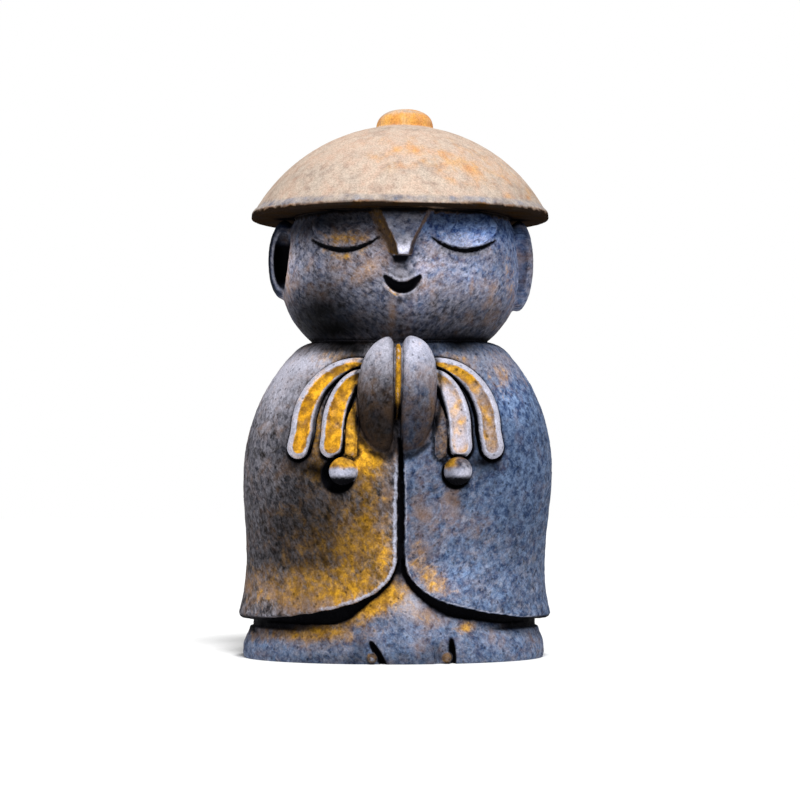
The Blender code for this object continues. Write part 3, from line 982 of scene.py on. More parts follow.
def measure(forms: list[Form], points: Array) -> Array:
    """Measures the carved distance at single points.

    Args:
        forms: what is joined and cut, in turn.
        points: the places, one row each.

    Returns:
        The distance at each.
    """
    distance = np.full(len(points), FAR, np.float32)
    for form in forms:
        near = np.all((points > form.low) & (points < form.high), axis=1)
        if near.any():
            distance[near] = form.onto(distance[near], *points[near].T)
    return np.maximum(distance, -points[:, 2])


def mesh_from(name: str, points: Array, faces: Array) -> Mesh:
    """Makes a Blender mesh from points and four-sided faces."""
    mesh = bpy.data.meshes.new(name)
    mesh.vertices.add(len(points))
    mesh.vertices.foreach_set("co", points.astype(np.float32).ravel())
    mesh.loops.add(faces.size)
    mesh.loops.foreach_set("vertex_index", faces.astype(np.int32).ravel())
    mesh.polygons.add(len(faces))
    mesh.polygons.foreach_set("loop_start", np.arange(0, faces.size, 4, dtype=np.int32))
    mesh.update(calc_edges=True)
    mesh.validate()
    return mesh


def read(elements: bpy.types.bpy_prop_collection, key: str, kind: type = np.float32,
         width: int = 3) -> Array:
    """Reads one value from each element of a mesh.

    Args:
        elements: its points, edges or faces.
        key: the value's name.
        kind: the kind of number.
        width: how many numbers each element has.

    Returns:
        A row for each element.
    """
    values = np.empty(len(elements) * width, kind)
    elements.foreach_get(key, values)
    return values.reshape(-1, width)


def write_attribute(mesh: Mesh, name: str, values: Array) -> None:
    """Stores a number or a vector at each point of a mesh.

    Args:
        mesh: the mesh.
        name: the attribute's name.
        values: one value a point.
    """
    kind, key = ("FLOAT", "value") if values.ndim == 1 else ("FLOAT_VECTOR", "vector")
    attribute = mesh.attributes.get(name) or mesh.attributes.new(name, kind, "POINT")
    attribute.data.foreach_set(key, values.astype(np.float32).ravel())


class Tree:
    """A short way to make a node tree, and to add and join its nodes."""

    def __init__(self, tree: NodeTree) -> None:
        """Keeps the tree that the nodes go in."""
        self.tree = tree

    @classmethod
    def group(cls, name: str, kind: str, inputs: dict[str, object],
              outputs: dict[str, str]) -> tuple["Tree", object]:
        """Starts a node group.

        Args:
            name: its name.
            kind: its type.
            inputs: its inputs, each with a number, a colour or the kind of its socket.
            outputs: its outputs, each with the kind of its socket.

        Returns:
            The tree, and the sockets of its inputs.
        """
        tree = bpy.data.node_groups.new(name, kind)
        for key, value in inputs.items():
            wanted = value if isinstance(value, str) else "Color" if isinstance(value, tuple) else "Float"
            socket = tree.interface.new_socket(key, in_out="INPUT", socket_type=f"NodeSocket{wanted}")
            if not isinstance(value, str):
                socket.default_value = value
        for key, wanted in outputs.items():
            tree.interface.new_socket(key, in_out="OUTPUT", socket_type=f"NodeSocket{wanted}")
        t = cls(tree)
        return t, t.add("NodeGroupInput").outputs

    def add(self, kind: str, inputs: dict | None = None, **settings: object) -> Node:
        """Adds a node.

        Args:
            kind: its type.
            inputs: by socket name or number, a value or another node's socket.
            **settings: its properties.

        Returns:
            The node.
        """
        node = self.tree.nodes.new(kind)
        for key, value in settings.items():
            setattr(node, key, value)
        for key, value in (inputs or {}).items():
            socket = node.inputs[key]
            if isinstance(value, Socket):
                self.tree.links.new(value, socket)
            else:
                socket.default_value = value
        return node

    def math(self, operation: str, a: object, b: object = 0.0, clamp: bool = False) -> Socket:
        """Returns the result of a Math node on two values or sockets."""
        return self.add("ShaderNodeMath", {0: a, 1: b}, operation=operation, use_clamp=clamp).outputs[0]

    def times(self, a: object, b: object) -> Socket:
        """Returns the product of two values or sockets."""
        return self.math("MULTIPLY", a, b)

    def per(self, size: object, count: float = 1.0) -> Socket:
        """Returns a count divided by a size, which is the scale of a pattern of that size."""
        return self.math("DIVIDE", count, size)

    def span(self, value: object, low: object, high: object, to_low: float = 0.0,
             to_high: float = 1.0) -> Socket:
        """Returns a value moved smoothly from one range to another."""
        return self.add("ShaderNodeMapRange", {"Value": value, "From Min": low, "From Max": high,
                                               "To Min": to_low, "To Max": to_high},
                        interpolation_type="SMOOTHSTEP").outputs["Result"]

    def noise(self, place: object, scale: object, detail: float, seed: object = None,
              **inputs: float) -> Socket:
        """Adds a noise.

        Args:
            place: where it is read.
            scale: how many of its features fill a metre.
            detail: how many finer layers it has.
            seed: the number that picks its pattern, or None for the plain one.
            **inputs: its other inputs.

        Returns:
            Its value.
        """
        given = {"Vector": place, "Scale": scale, "Detail": detail, **inputs}
        if seed is not None:
            given["W"] = seed
        size = "3D" if seed is None else "4D"
        return self.add("ShaderNodeTexNoise", given, noise_dimensions=size).outputs["Fac"]

    def stretched(self, brush: object, length: object, width: object) -> Socket:
        """Returns a place along and across the strokes, counted in strokes."""
        across = self.per(width)
        scale = self.add("ShaderNodeCombineXYZ", {0: self.per(length), 1: across, 2: across}).outputs[0]
        return self.add("ShaderNodeVectorMath", {0: brush, 1: scale}, operation="MULTIPLY").outputs[0]

    def blend(self, factor: object, a: object, b: object, **settings: str) -> Socket:
        """Returns a colour between two colours."""
        return self.add("ShaderNodeMix", {"Factor": factor, "A": a, "B": b}, data_type="RGBA",
                        **settings).outputs["Result"]


@dataclass
class BrushedRelief:
    """The relief that tools and brushes left in the stone, as a Geometry Nodes tree."""

    stroke_length: float = 0.0075
    stroke_width: float = 0.0021
    stroke_depth: float = 0.00055
    dent_size: float = 0.01
    dent_depth: float = 0.0011
    pit_size: float = 0.008
    pit_depth: float = 0.0007
    seed: int = 7

    def build(self) -> GeometryNodeTree:
        """Returns the tree, which moves each point along its normal."""
        sizes = {f.name.replace("_", " ").title(): float(getattr(self, f.name)) for f in fields(self)}
        t, given = Tree.group("brushed_relief", "GeometryNodeTree",
                              {"Geometry": "Geometry", **sizes, "Material": "Material"},
                              {"Geometry": "Geometry"})
        named = "GeometryNodeInputNamedAttribute"
        brush = t.add(named, {"Name": "brush"}, data_type="FLOAT_VECTOR").outputs[0]
        weight = t.add(named, {"Name": "relief"}, data_type="FLOAT").outputs[0]
        place = t.add("GeometryNodeInputPosition").outputs[0]
        normal = t.add("GeometryNodeInputNormal").outputs[0]
        stretched = t.stretched(brush, given["Stroke Length"], given["Stroke Width"])
        strokes = t.noise(stretched, 1.0, 2.0, given["Seed"], Distortion=0.6)
        dents = t.noise(place, t.per(given["Dent Size"]), 2.0, given["Seed"])
        pits = t.add("ShaderNodeTexVoronoi", {"Vector": place, "W": given["Seed"], "Randomness": 1.0,
                                              "Scale": t.per(given["Pit Size"])},
                     voronoi_dimensions="4D").outputs["Distance"]
        raised = t.times(t.math("SUBTRACT", strokes, 0.5), t.times(given["Stroke Depth"], 2.0))
        waved = t.times(t.math("SUBTRACT", dents, 0.5), given["Dent Depth"])
        sunk = t.times(t.span(pits, 0.1, 0.3, -1.0, 0.0), given["Pit Depth"])
        total = t.times(t.math("ADD", t.math("ADD", raised, waved), sunk), weight)
        offset = t.add("ShaderNodeVectorMath", {0: normal, "Scale": total}, operation="SCALE").outputs[0]
        moved = t.add("GeometryNodeSetPosition", {"Geometry": given["Geometry"], "Offset": offset})
        realized = t.add("GeometryNodeRealizeInstances", {"Geometry": moved.outputs[0]})
        finished = t.add("GeometryNodeSetMaterial", {"Geometry": realized.outputs[0],
                                                     "Material": given["Material"]})
        t.add("NodeGroupOutput", {"Geometry": finished.outputs[0]})
        return t.tree

    def apply(self, piece: Object, material: Material) -> None:
        """Moves the piece's points by the relief and leaves a plain mesh.

        Args:
            piece: the piece, whose mesh has the attributes brush and relief.
            material: the finish that the tree sets.
        """
        tree = self.build()
        modifier = piece.modifiers.new("Brushed relief", "NODES")
        modifier.node_group = tree
        for item in tree.interface.items_tree:
            if item.item_type == "SOCKET" and item.in_out == "INPUT" and item.name != "Geometry":
                modifier[item.identifier] = material if item.name == "Material" else item.default_value
        settle(piece)


def placed(name: str, data: bpy.types.ID) -> Object:
    """Returns a new object that is linked to the scene."""
    made = bpy.data.objects.new(name, data)
    bpy.context.scene.collection.objects.link(made)
    return made


def aim(thing: Object, place: Vector, target: Vector) -> None:
    """Puts a lamp or a camera at a place and turns it to its target."""
    thing.location = place
    thing.rotation_euler = (target - place).to_track_quat("-Z", "Y").to_euler()


def settle(piece: Object) -> None:
    """Makes the piece's evaluated shape its plain mesh and removes its modifiers."""
    bpy.context.view_layer.update()
    depsgraph = bpy.context.evaluated_depsgraph_get()
    mesh = bpy.data.meshes.new_from_object(piece.evaluated_get(depsgraph))
    piece.modifiers.clear()
    old = piece.data
    piece.data = mesh
    bpy.data.meshes.remove(old)


class Wash(Enum):
    """The washes over the stone, and LIGHT, which multiplies the colour: it carries painted light and shade
    as well as how light or dark the paint is.
    """

    OCHRE = "ochre"
    BLUE = "blue"
    WARM = "warm"
    # PALE is pale paint and also carries painted highlights.
    PALE = "pale"
    # LIGHT carries painted light and shade besides the paint's own lightness.
    LIGHT = "light"


@dataclass(frozen=True)
class Patch:
    """A soft oval of one wash on the front. Its place and half axes are in millimetres."""

    wash: Wash
    amount: float
    x: float
    z: float
    half_x: float
    half_z: float
    turn: float = 0.0

    def weight(self, points: Array) -> Array:
        """Returns its amount at each point as the figure stands, fading outwards and to the back."""
        dx, dz = 1000 * points[:, 0] - self.x, 1000 * points[:, 2] - self.z
        c, s = math.cos(math.radians(self.turn)), math.sin(math.radians(self.turn))
        a, b = (dx * c + dz * s) / self.half_x, (dz * c - dx * s) / self.half_z
        return self.amount * np.exp(-(a * a + b * b)) * ramp(0.03, -0.02, points[:, 1])


def spots(wash: Wash, *rows: Row) -> tuple[Patch, ...]:
    """Returns patches of one wash, whose rows hold the other fields of each in order."""
    return tuple(Patch(wash, *row) for row in rows)


@dataclass(frozen=True)
class ZonePaint:
    """How one zone of the surface is painted: its ground amounts and its patches."""

    ochre: float = 0.0
    blue: float = 0.0
    warm: float = 0.0
    pale: float = 0.0
    light: float = 1.0
    patches: tuple[Patch, ...] = ()

    def add_to(self, surface: "Surface", share: Array) -> None:
        """Adds the zone's paint to a surface. Patches of light and shade multiply, the others add.

        Args:
            surface: the points to paint.
            share: how much of each point belongs to the zone.
        """
        for wash in Wash:
            level = np.full(len(share), getattr(self, wash.value), np.float32)
            for patch in (p for p in self.patches if p.wash is wash):
                weight = patch.weight(surface.leaned)
                level = level * (1 + weight) if wash is Wash.LIGHT else level + weight
            surface.amounts[wash] += share * level


# LIGHT patches hold painted light and shade besides darker and lighter paint; here painted shadow under the
# chin and the sleeve's folds, painted light on the shoulder.
LEFT_PANEL = ZonePaint(ochre=0.05, blue=0.12, warm=0.12, pale=0.16, light=0.94, patches=(
    *spots(Wash.OCHRE, (0.42, -17, 84, 8, 26), (0.3, -25, 49, 17, 12, -30), (0.4, -7, 55, 6, 13),
           (0.6, -37, 101, 13, 6), (0.4, -50, 37, 34, 8), (0.36, -34, 68, 28, 18),
           (0.3, -29, 36, 12, 5, 10), (0.4, -32, 161, 13, 4), (0.9, -21, 111, 8, 10),
           (0.45, -11, 107, 5, 7), (0.25, -48, 47, 30, 7), (0.8, -44, 124, 4, 14)),
    *spots(Wash.WARM, (0.75, -54, 36, 32, 9, -8), (0.35, -14, 70, 12, 26), (0.3, -40, 150, 26, 10)),
    *spots(Wash.PALE, (0.5, -42, 160, 34, 9), (0.15, -76, 90, 12, 40), (0.6, -62, 150, 16, 22)),
    *spots(Wash.LIGHT, (-0.74, -44, 76, 27, 26), (-0.38, -66, 66, 20, 26), (-0.45, -50, 54, 30, 6),
           (-0.32, -49, 34, 10, 9), (-0.28, -17, 80, 6, 20), (0.45, -6, 58, 5, 18),
           (-0.6, -55, 117, 8, 12), (-0.98, -41, 101, 19, 6.5, -20), (0.9, -23, 107, 9, 10),
           (0.4, -26, 130, 5, 10), (0.7, -50, 161, 24, 7), (0.55, -70, 147, 11, 18),
           (-0.6, -26, 161.5, 8, 3), (-0.99, -28, 169.5, 18, 5.5), (-0.3, -38, 64, 12, 10),
           (-0.95, -22, 165.5, 6.5, 4), (-0.85, -33, 166.5, 11, 2.2), (-0.28, -50, 92, 14, 8),
           (-0.18, -62, 70, 8, 12), (0.45, -73, 28, 7, 7)),
))
# LIGHT patches here: painted shadow under the chin and under the sleeve's outer fold.
RIGHT_PANEL = ZonePaint(blue=0.8, warm=0.05, pale=0.14, light=0.94, patches=(
    *spots(Wash.OCHRE, (0.55, 13, 51, 6, 13, 32), (0.3, 22, 40, 10, 4, -20), (0.25, 56, 150, 8, 9),
           (0.4, 30, 161, 13, 3)),
    *spots(Wash.WARM, (0.5, 12, 66, 9, 24), (0.65, 27, 84, 5, 9), (0.45, 33, 70, 13, 8, -20),
           (0.4, 46, 156, 24, 9)),
    *spots(Wash.PALE, (0.4, 46, 160, 26, 8), (-0.3, 62, 116, 16, 36)),
    *spots(Wash.BLUE, (0.3, 62, 116, 16, 36)),
    *spots(Wash.LIGHT, (-0.22, 10, 78, 8, 26), (0.6, 35, 43, 26, 11), (-0.2, 44, 114, 28, 18),
           (-0.98, 33, 169.5, 18, 5.5), (-0.99, 45, 106, 9, 5.5), (0.6, 64, 141, 11, 16),
           (-0.2, 66, 70, 22, 24), (-0.95, 14, 165.5, 6, 4), (-0.65, 32, 167, 7, 2),
           (0.28, 54, 137, 6, 10)),
))
# LIGHT patches here: painted shadow under the hem and in the toes' recesses.
INNER_ROBE = ZonePaint(blue=0.75, warm=0.1, pale=0.2, light=1.02, patches=(
    *spots(Wash.OCHRE, (0.95, -16, 30, 24, 7, 22), (0.5, -52, 15, 32, 4, 4), (0.55, -5, 44, 5, 9),
           (0.6, 36, 19, 6, 4), (0.35, 12, 26, 10, 4, -30), (0.2, -38, 13, 16, 6)),
    *spots(Wash.WARM, (0.45, 10, 27, 10, 8, -30), (0.45, -54, 16, 30, 6)),
    *spots(Wash.PALE, (0.85, 6, 32, 7, 9, -20)),
    *spots(Wash.BLUE, (0.45, -70, 5, 16, 6), (0.5, -16, 12, 12, 8), (0.45, 14, 12, 14, 8),
           (0.35, 55, 8, 20, 6)),
    *spots(Wash.LIGHT, (0.08, 6, 30, 11, 8), (-0.5, 0, 45, 7, 5), (-0.97, -50, 20, 28, 5, 4),
           (-0.4, -42, 13, 26, 6), (-0.5, -20, 9, 4.5, 7, -20), (-0.45, 18, 7, 8, 6),
           (-0.6, 60, 21.5, 16, 4), (-0.55, -20, 2.5, 50, 4), (-0.2, 1, 9, 7, 6)),
))
# LIGHT patches here: painted shadow of the brim on the forehead, of the nose beside and under it, and under
# the chin; painted light on the right cheek and lid.
SKIN = ZonePaint(blue=0.3, warm=0.12, pale=0.28, light=0.98, patches=(
    *spots(Wash.OCHRE, (0.48, -28, 224.5, 14, 5), (0.75, -28, 215, 6, 1.5), (0.15, -20, 208, 10, 9),
           (0.28, 61, 206, 3.5, 11)),
    *spots(Wash.WARM, (0.3, -28, 222, 14, 6), (0.35, -18, 208, 12, 11), (0.35, 18, 203, 10, 12),
           (0.35, 50, 190, 12, 10), (0.6, -59, 213, 4, 20), (-0.4, 40, 232, 34, 8),
           (0.8, -8, 226, 3.5, 9, 12), (0.6, -3, 181, 2, 13)),
    *spots(Wash.BLUE, (1.0, 40, 230, 26, 8), (0.45, -48, 232, 12, 6), (0.34, 40, 214, 26, 24),
           (1.0, 66, 213, 7, 26)),
    *spots(Wash.PALE, (0.35, 35, 223, 14, 5), (-0.5, 40, 232, 34, 8)),
    *spots(Wash.LIGHT, (-0.92, -40, 232.5, 26, 8.5), (-0.6, 44, 235.5, 26, 5),
           (-0.9, -8, 228, 3.6, 8, 12), (-0.4, 8.5, 220, 2.5, 8, -15), (1.45, 33, 214, 32, 14),
           (1.2, 42, 226, 22, 6), (0.5, 12, 212, 7, 12), (0.4, -13, 218, 7, 9),
           (0.5, -34, 214, 34, 10), (0.7, -56, 212, 8, 12), (-0.95, -41, 187, 24, 12),
           (-0.4, -40, 197, 12, 8), (-0.4, 44, 184, 30, 8), (-0.5, 0, 177, 80, 8),
           (-0.99, -34, 177, 26, 10), (-0.93, 34, 171.5, 28, 6), (-0.99, 0.8, 212.8, 5, 3.2),
           (-0.75, -18, 236.5, 42, 5.5), (0.5, 9, 189, 6, 7), (0.35, -59, 213, 4, 20),
           (0.5, 69, 208, 5, 16)),
))
# LIGHT patches here: painted shade towards the hat's sides.
HAT_PAINT = ZonePaint(blue=0.0, warm=0.5, pale=0.62, light=0.94, patches=(
    *spots(Wash.OCHRE, (0.32, 38, 262, 26, 10, -15), (0.2, 8, 268, 30, 10), (0.2, 60, 250, 14, 6)),
    *spots(Wash.WARM, (0.3, -4, 274, 34, 12)),
    *spots(Wash.LIGHT, (-0.2, 72, 250, 16, 8), (-0.12, -60, 256, 20, 12)),
))


@dataclass(frozen=True)
class Brushwork:
    """The directions that the surfaces were brushed in, in degrees, and how strongly the strokes show.

    A pair of turns is for the viewer's left and right.
    """

    panel_turns: Ends = (-56, 38)
    face_turns: Ends = (-40, 42)
    hat_turn: float = -30
    robe_turn: float = -35
    hand_turn: float = 80
    head_radius: float = 0.06
    body_radius: float = 0.075
    side_step: float = 0.31
    region_step: float = 0.17
    back_fade: float = 0.35
    nose_fade: float = 0.15
    calm: float = 0.6
    small_calm: float = 0.3
    hat_calm: float = 0.5
    hat_weight: float = 0.45
    head_weight: float = 0.6
    fine_weight: float = 0.25
    fine_fade: Ends = (0.0005, 0.0035)
    ground_fade: Ends = (0.0, 0.004)
    back_weight: float = 0.55
    back_y: Ends = (0.04, -0.02)
    calm_weight: float = 0.4


@dataclass(frozen=True)
class Fades:
    """Where the paint of the details, painted light and shade among it, starts and is full: heights, unless
    the name says otherwise.
    """

    sleeve_top: Ends = (0.142, 0.154)
    hand_tips: Ends = (0.126, 0.17)
    palm: Ends = (0.134, 0.14)
    ball_pale: Ends = (0.0035, 0.0)
    ball_under: Ends = (-0.002, -0.0038)
    ball_inner_x: Ends = (0.031, 0.027)
    brow: Ends = (0.2395, 0.23)
    nose_tip: Ends = (-0.011, -0.003)
    nose_proud_y: Ends = (0.0004, 0.0014)
    ear_front_y: Ends = (0.006, 0.001)
    ear_ridge: tuple[Ends, Ends] = ((0.198, 0.204), (0.227, 0.222))
    ear_outer: Ends = (0.194, 0.2)
    ear_bowl: tuple[Ends, Ends] = ((0.199, 0.206), (0.2285, 0.2245))
    lip_top: Ends = (0.2115, 0.209)
    lip_cream_x: Ends = (0.002, -0.004)
    button_top: Ends = (0.0045, 0.0075)
    beside_fold: tuple[Ends, Ends] = ((0.0003, 0.0008), (0.003, 0.0018))
    beside_hand: tuple[Ends, Ends] = ((0.0005, 0.001), (0.003, 0.0018))
    beside_ball: tuple[Ends, Ends] = ((0.0001, 0.0005), (0.0012, 0.0004))
    gap_light: Ends = (-0.044, 0.124)
    gap_light_half: Ends = (0.0024, 0.013)
    nostril_shift: float = 0.0006
    nostril_half: Ends = (0.0053, 0.0046)
    # Painted shade in hollows, by how far they are shut in.
    carved: Ends = (0.35, 0.8)
    slit_from: Ends = (0.0445, 0.0475)
    band_from: Ends = (0.013, 0.015)
    band_to: float = 0.125
    under_hem: Ends = (-0.0002, -0.0012)
    under_hem_from: Ends = (0.0158, 0.0178)
    under_hem_x: Ends = (0.044, 0.06)
    edge_line: Ends = (0.108, 0.1)
    edge_line_x: Ends = (-0.052, -0.034)


class Surface:
    """The points of the figure's surface, with what is measured and painted at them."""

    def __init__(self, figure: "Figure", points: Array) -> None:
        """Finds where the points stand once leaned, and which region each belongs to.

        Args:
            figure: the figure whose forms are measured.
            points: the places, upright.
        """
        self.named = {form.name: form for form in figure.forms}
        self.points, self.leaned = points, figure.stance.leaned(points)
        self.x, self.y, self.z = points.T
        self.front = self.y < 0
        self.amounts = {wash: np.zeros(len(points), np.float32) for wash in Wash}
        arms = self.nearest("palm_core", *figure.folds, *both("hand", "ball"))
        cloak = np.minimum(figure.cloak.opened(*points.T), arms)
        robe = self.nearest("inner_robe", "toe_0", "toe_1")
        head = self.nearest("head", "nose", "upper_lip", "lower_lip", *both("ear", "lid"))
        distances = (np.where(self.z > figure.cloak.collar_z, FAR, cloak), robe, head,
                     self.nearest("hat", "button"))
        self.region = np.argmin(np.stack([np.abs(distance) for distance in distances]), axis=0)

    def form(self, name: str, reach: float = 0.004) -> Array:
        """Measures how far the points are from one form alone.

        Args:
            name: the form's name.
            reach: how far outside its box it is still measured.

        Returns:
            The distance, or FAR well away from it.
        """
        form = self.named[name]
        low, high = np.array(form.low) - reach, np.array(form.high) + reach
        near = np.all((self.points > low) & (self.points < high), axis=1)
        distance = np.full(len(self.points), FAR, np.float32)
        if near.any():
            distance[near] = form.distance(*self.points[near].T)
        return distance

    def nearest(self, *names: str) -> Array:
        """Returns the least distance to any of the named forms."""
        return np.minimum.reduce([self.form(name) for name in names])

    def on(self, *names: str, outer: float = 0.0008, inner: float = 0.0) -> Array:
        """Returns 1 on any of the named forms, fading to 0 from an inner to an outer distance."""
        return ramp(outer, inner, self.nearest(*names))

    def within(self, region: Region) -> Array:
        """Returns which points belong to a region."""
        return self.region == region

    def lay(self, share: Array, ochre: Amount = 0.0, blue: Amount = 0.0, warm: Amount = 0.0,
            pale: Amount = 0.0, light: Amount = 1.0) -> None:
        """Paints over what is there.

        Args:
            share: how far each point is painted over.
            ochre, blue, warm, pale, light: the new amounts.
        """
        for wash, value in zip(Wash, (ochre, blue, warm, pale, light)):
            self.amounts[wash] += share * (value - self.amounts[wash])


class Figure:
    """The whole statue: carves its forms, marks its washes and makes the piece."""

    HOLLOW_REACHES = ((0.0012, 0.3), (0.0028, 0.35), (0.006, 0.35))
    BEND_RANGE = (60.0, 340.0)

    def __init__(self) -> None:
        """Builds each sub-assembly from its sizes."""
        self.stance = Stance()
        self.cloak = Cloak(self.stance)
        self.robe = InnerRobe(self.stance, self.cloak)
        self.head = Head(self.cloak)
        self.hat = Hat(self.head)
        self.arms = Arms(self.cloak)
        self.work = Brushwork()
        self.fades = Fades()
        self.folds = both(*(fold.name for fold in self.arms.folds))
        parts = (self.cloak, self.robe, self.head, self.hat, self.arms)
        self.forms = sorted((form for part in parts for form in part.forms()),
                            key=lambda form: form.name.startswith("toe"))

    def brush(self, surface: Surface) -> tuple[Array, Array]:
        """Lays out the direction that the surface was brushed in.

        Args:
            surface: the points.

        Returns:
            A place along and across the strokes, and how calm they are, down to 0 where they turn.
        """
        work = self.work
        angle = np.arctan2(surface.x, -surface.y)
        left, face, hat = angle < 0, surface.within(Region.HEAD), surface.within(Region.HAT)
        u, v = np.where(face, work.head_radius, work.body_radius) * angle, surface.z
        turn = np.where(left, *map(math.radians, work.panel_turns))
        turn = np.where(face, np.where(left, *map(math.radians, work.face_turns)), turn)
        for place, degrees in ((hat, work.hat_turn), (surface.within(Region.ROBE), work.robe_turn),
                               (surface.nearest(*both("hand")) < CRISP, work.hand_turn)):
            turn = np.where(place, math.radians(degrees), turn)
        c, s = np.cos(turn), np.sin(turn)
        side = np.where(left, 0.0, work.side_step) + work.region_step * surface.region
        brush = np.stack([u * c + v * s + side, v * c - u * s + side, side], 1)
        calm = ramp(math.pi, math.pi - work.back_fade, np.abs(angle))
        calm = calm * np.where(face, work.calm * ramp(0.0, work.nose_fade, np.abs(angle)), work.calm)
        small = surface.nearest(*both("ball", "outer_fold", "inner_fold"))
        calm = calm * np.where(small < 0.0008, work.small_calm, 1.0) * np.where(hat, work.hat_calm, 1.0)
        return brush, calm

    def hollow(self, surface: Surface, normals: Array) -> Array:
        """Finds how far the surface around each point shuts it in.

        Args:
            surface: the points.
            normals: the direction that each faces.

        Returns:
            0 in the open, up to 1 deep in a groove.
        """
        shut = np.zeros(len(surface.points), np.float32)
        for reach, weight in self.HOLLOW_REACHES:
            free = measure(self.forms, surface.points + normals * reach)
            shut += weight * np.clip(1.0 - free / reach, 0.0, 1.0)
        return shut

    def bends(self, mesh: Mesh) -> tuple[Array, Array]:
        """Finds where the surface bends outwards and inwards.

        Args:
            mesh: the finished mesh.

        Returns:
            How sharp it is outwards, and inwards, from 0 to 1 at each point.
        """
        points, normals = read(mesh.vertices, "co"), read(mesh.vertex_normals, "vector")
        first, second = read(mesh.edges, "vertices", np.int32, 2).T
        step = points[second] - points[first]
        length = np.maximum((step * step).sum(1), 1e-9)
        total, count = np.zeros(len(points)), np.zeros(len(points))
        for end, sign in ((first, 1), (second, -1)):
            np.add.at(total, end, sign * (step * normals[end]).sum(1) / length)
            np.add.at(count, end, 1)
        bend = total / np.maximum(count, 1)
        for _ in range(2):
            around = np.zeros(len(points))
            np.add.at(around, first, bend[second])
            np.add.at(around, second, bend[first])
            bend = 0.4 * bend + 0.6 * around / np.maximum(count, 1)
        return ramp(*self.BEND_RANGE, -bend), ramp(*self.BEND_RANGE, bend)

    def paint(self, surface: Surface) -> None:
        """Lays every wash on the surface."""
        cloak, across = surface.within(Region.CLOAK), surface.leaned[:, 0] - self.cloak.opening_shift
        soft = 0.002 + 0.05 * ramp(-0.01, 0.05, surface.y)
        left = ramp(soft, -soft, across)
        for zone, share in ((LEFT_PANEL, cloak * left), (RIGHT_PANEL, cloak * (1 - left)),
                            (INNER_ROBE, surface.within(Region.ROBE)), (SKIN, surface.within(Region.HEAD)),
                            (HAT_PAINT, surface.within(Region.HAT))):
            zone.add_to(surface, share)
        self.paint_arms(surface)
        self.paint_face(surface)
        self.paint_hat(surface)
        surface.lay(0.8 * surface.on("toe_0", "toe_1"), ochre=0.42, warm=0.5, light=0.5)

    def paint_arms(self, surface: Surface) -> None:
        """Paints the folds, the balls with painted highlights and painted shade, and the hands with painted
        light on top and painted shade below.
        """
        lay, on = surface.lay, surface.on
        fades = self.fades
        high = ramp(*fades.sleeve_top, surface.z)
        for side in Side:
            left = side is Side.LEFT
            for fold in ("outer_fold", "inner_fold"):
                cream = not left and fold == "inner_fold"
                over = on(f"{fold}_{side.label}", outer=0.001, inner=0.0002)
                trough = on(f"{fold}_channel_{side.label}", outer=0.0009, inner=0.0002)
                lay(over, ochre=0.12 if left else 0.04, blue=0.3, warm=0.1, pale=0.95, light=1.5)
                lay(trough * over, ochre=0.95 if left else mix(0.3 if cream else 0.42, 0.9, high),
                    warm=0.2 if left else 0.5, pale=0.98 if cream else 0.12 if left else 0.45,
                    light=1.55 if cream else 1.25)
            # The cuff on the viewer's right is darker, as painted shade beside the hand.
            lay(on(f"cuff_fold_{side.label}", outer=0.0012), ochre=0.95 if left else 0.35, blue=0.6,
                pale=0.2, light=1.15 if left else 0.65)
            # Painted highlight from the middle of each ball down, and painted shade on the inner side of the
            # ball on the viewer's right.
            middle = self.arms.ball_z - self.arms.ball_sag
            low = ramp(*fades.ball_pale, surface.z - middle)
            aside = 0.0 if left else 0.5 * ramp(*fades.ball_inner_x, surface.leaned[:, 0])
            lay(on(f"ball_{side.label}"), blue=0.5, pale=0.2 + 0.7 * low,
                ochre=(0.85 if left else 0.35 + aside) * (1 - low),
                light=(0.95 + 0.55 * low) * (1 - 0.92 * aside))
        lay(on("palm_core", outer=0.001, inner=0.0003), ochre=0.95)
        # Painted light on the hands' tops and painted shade on their lower parts.
        top = ramp(*fades.hand_tips, surface.z)
        for side, blue, dark in ((Side.LEFT, 0.15, 0.14), (Side.RIGHT, 0.55, 0.38)):
            lay(on(f"hand_{side.label}", outer=0.0012), ochre=0.05, blue=blue, warm=0.45 * (1 - top),
                pale=0.05 + 0.9 * top ** 1.5, light=dark + 1.3 * top ** 1.3)

    def paint_face(self, surface: Surface) -> None:
        """Paints the nose with a painted highlight on its facet and painted shade on its flanks and beside
        it, painted shade in the bowl of the left ear, the lips with painted highlights on their edges, and
        the lids' edges.
        """
        lay, on = surface.lay, surface.on
        fades, z = self.fades, surface.z
        facet, _, _, face, below = self.head.nose_sizes(z)
        nose_x = self.head.from_nose(surface.x)
        across, proud = np.abs(nose_x), face - surface.y
        near = on("nose", outer=0.001, inner=0.0002) * ramp(*fades.nose_proud_y, proud)
        front = ramp(facet + 0.0006, facet - 0.0004, across) * (below < 0)
        tip = ramp(*fades.nose_tip, below)
        left = (nose_x < 0).astype(np.float32)
        # Painted shade on the nose's flanks, warmer on the viewer's left.
        lay(near * (1 - front), ochre=0.3 * left, blue=0.3 * (1 - left), warm=0.6,
            light=0.16 + 0.3 * (1 - left))
        # Painted highlight on the nose's facet, brightest at the tip, fading to painted shadow under the
        # brim.
        lay(near * front, blue=0.65 - 0.4 * tip, pale=0.5 + 0.5 * tip,
            light=(1.3 + 0.9 * tip) * ramp(*fades.brow, z))
        # Painted shade on the face beside the nose, on the viewer's left.
        beside = on("nose", outer=0.003, inner=0.0014) * (proud < fades.nose_proud_y[1])
        lay(left * beside * (below < 0), ochre=0.3, warm=0.7, light=0.25)
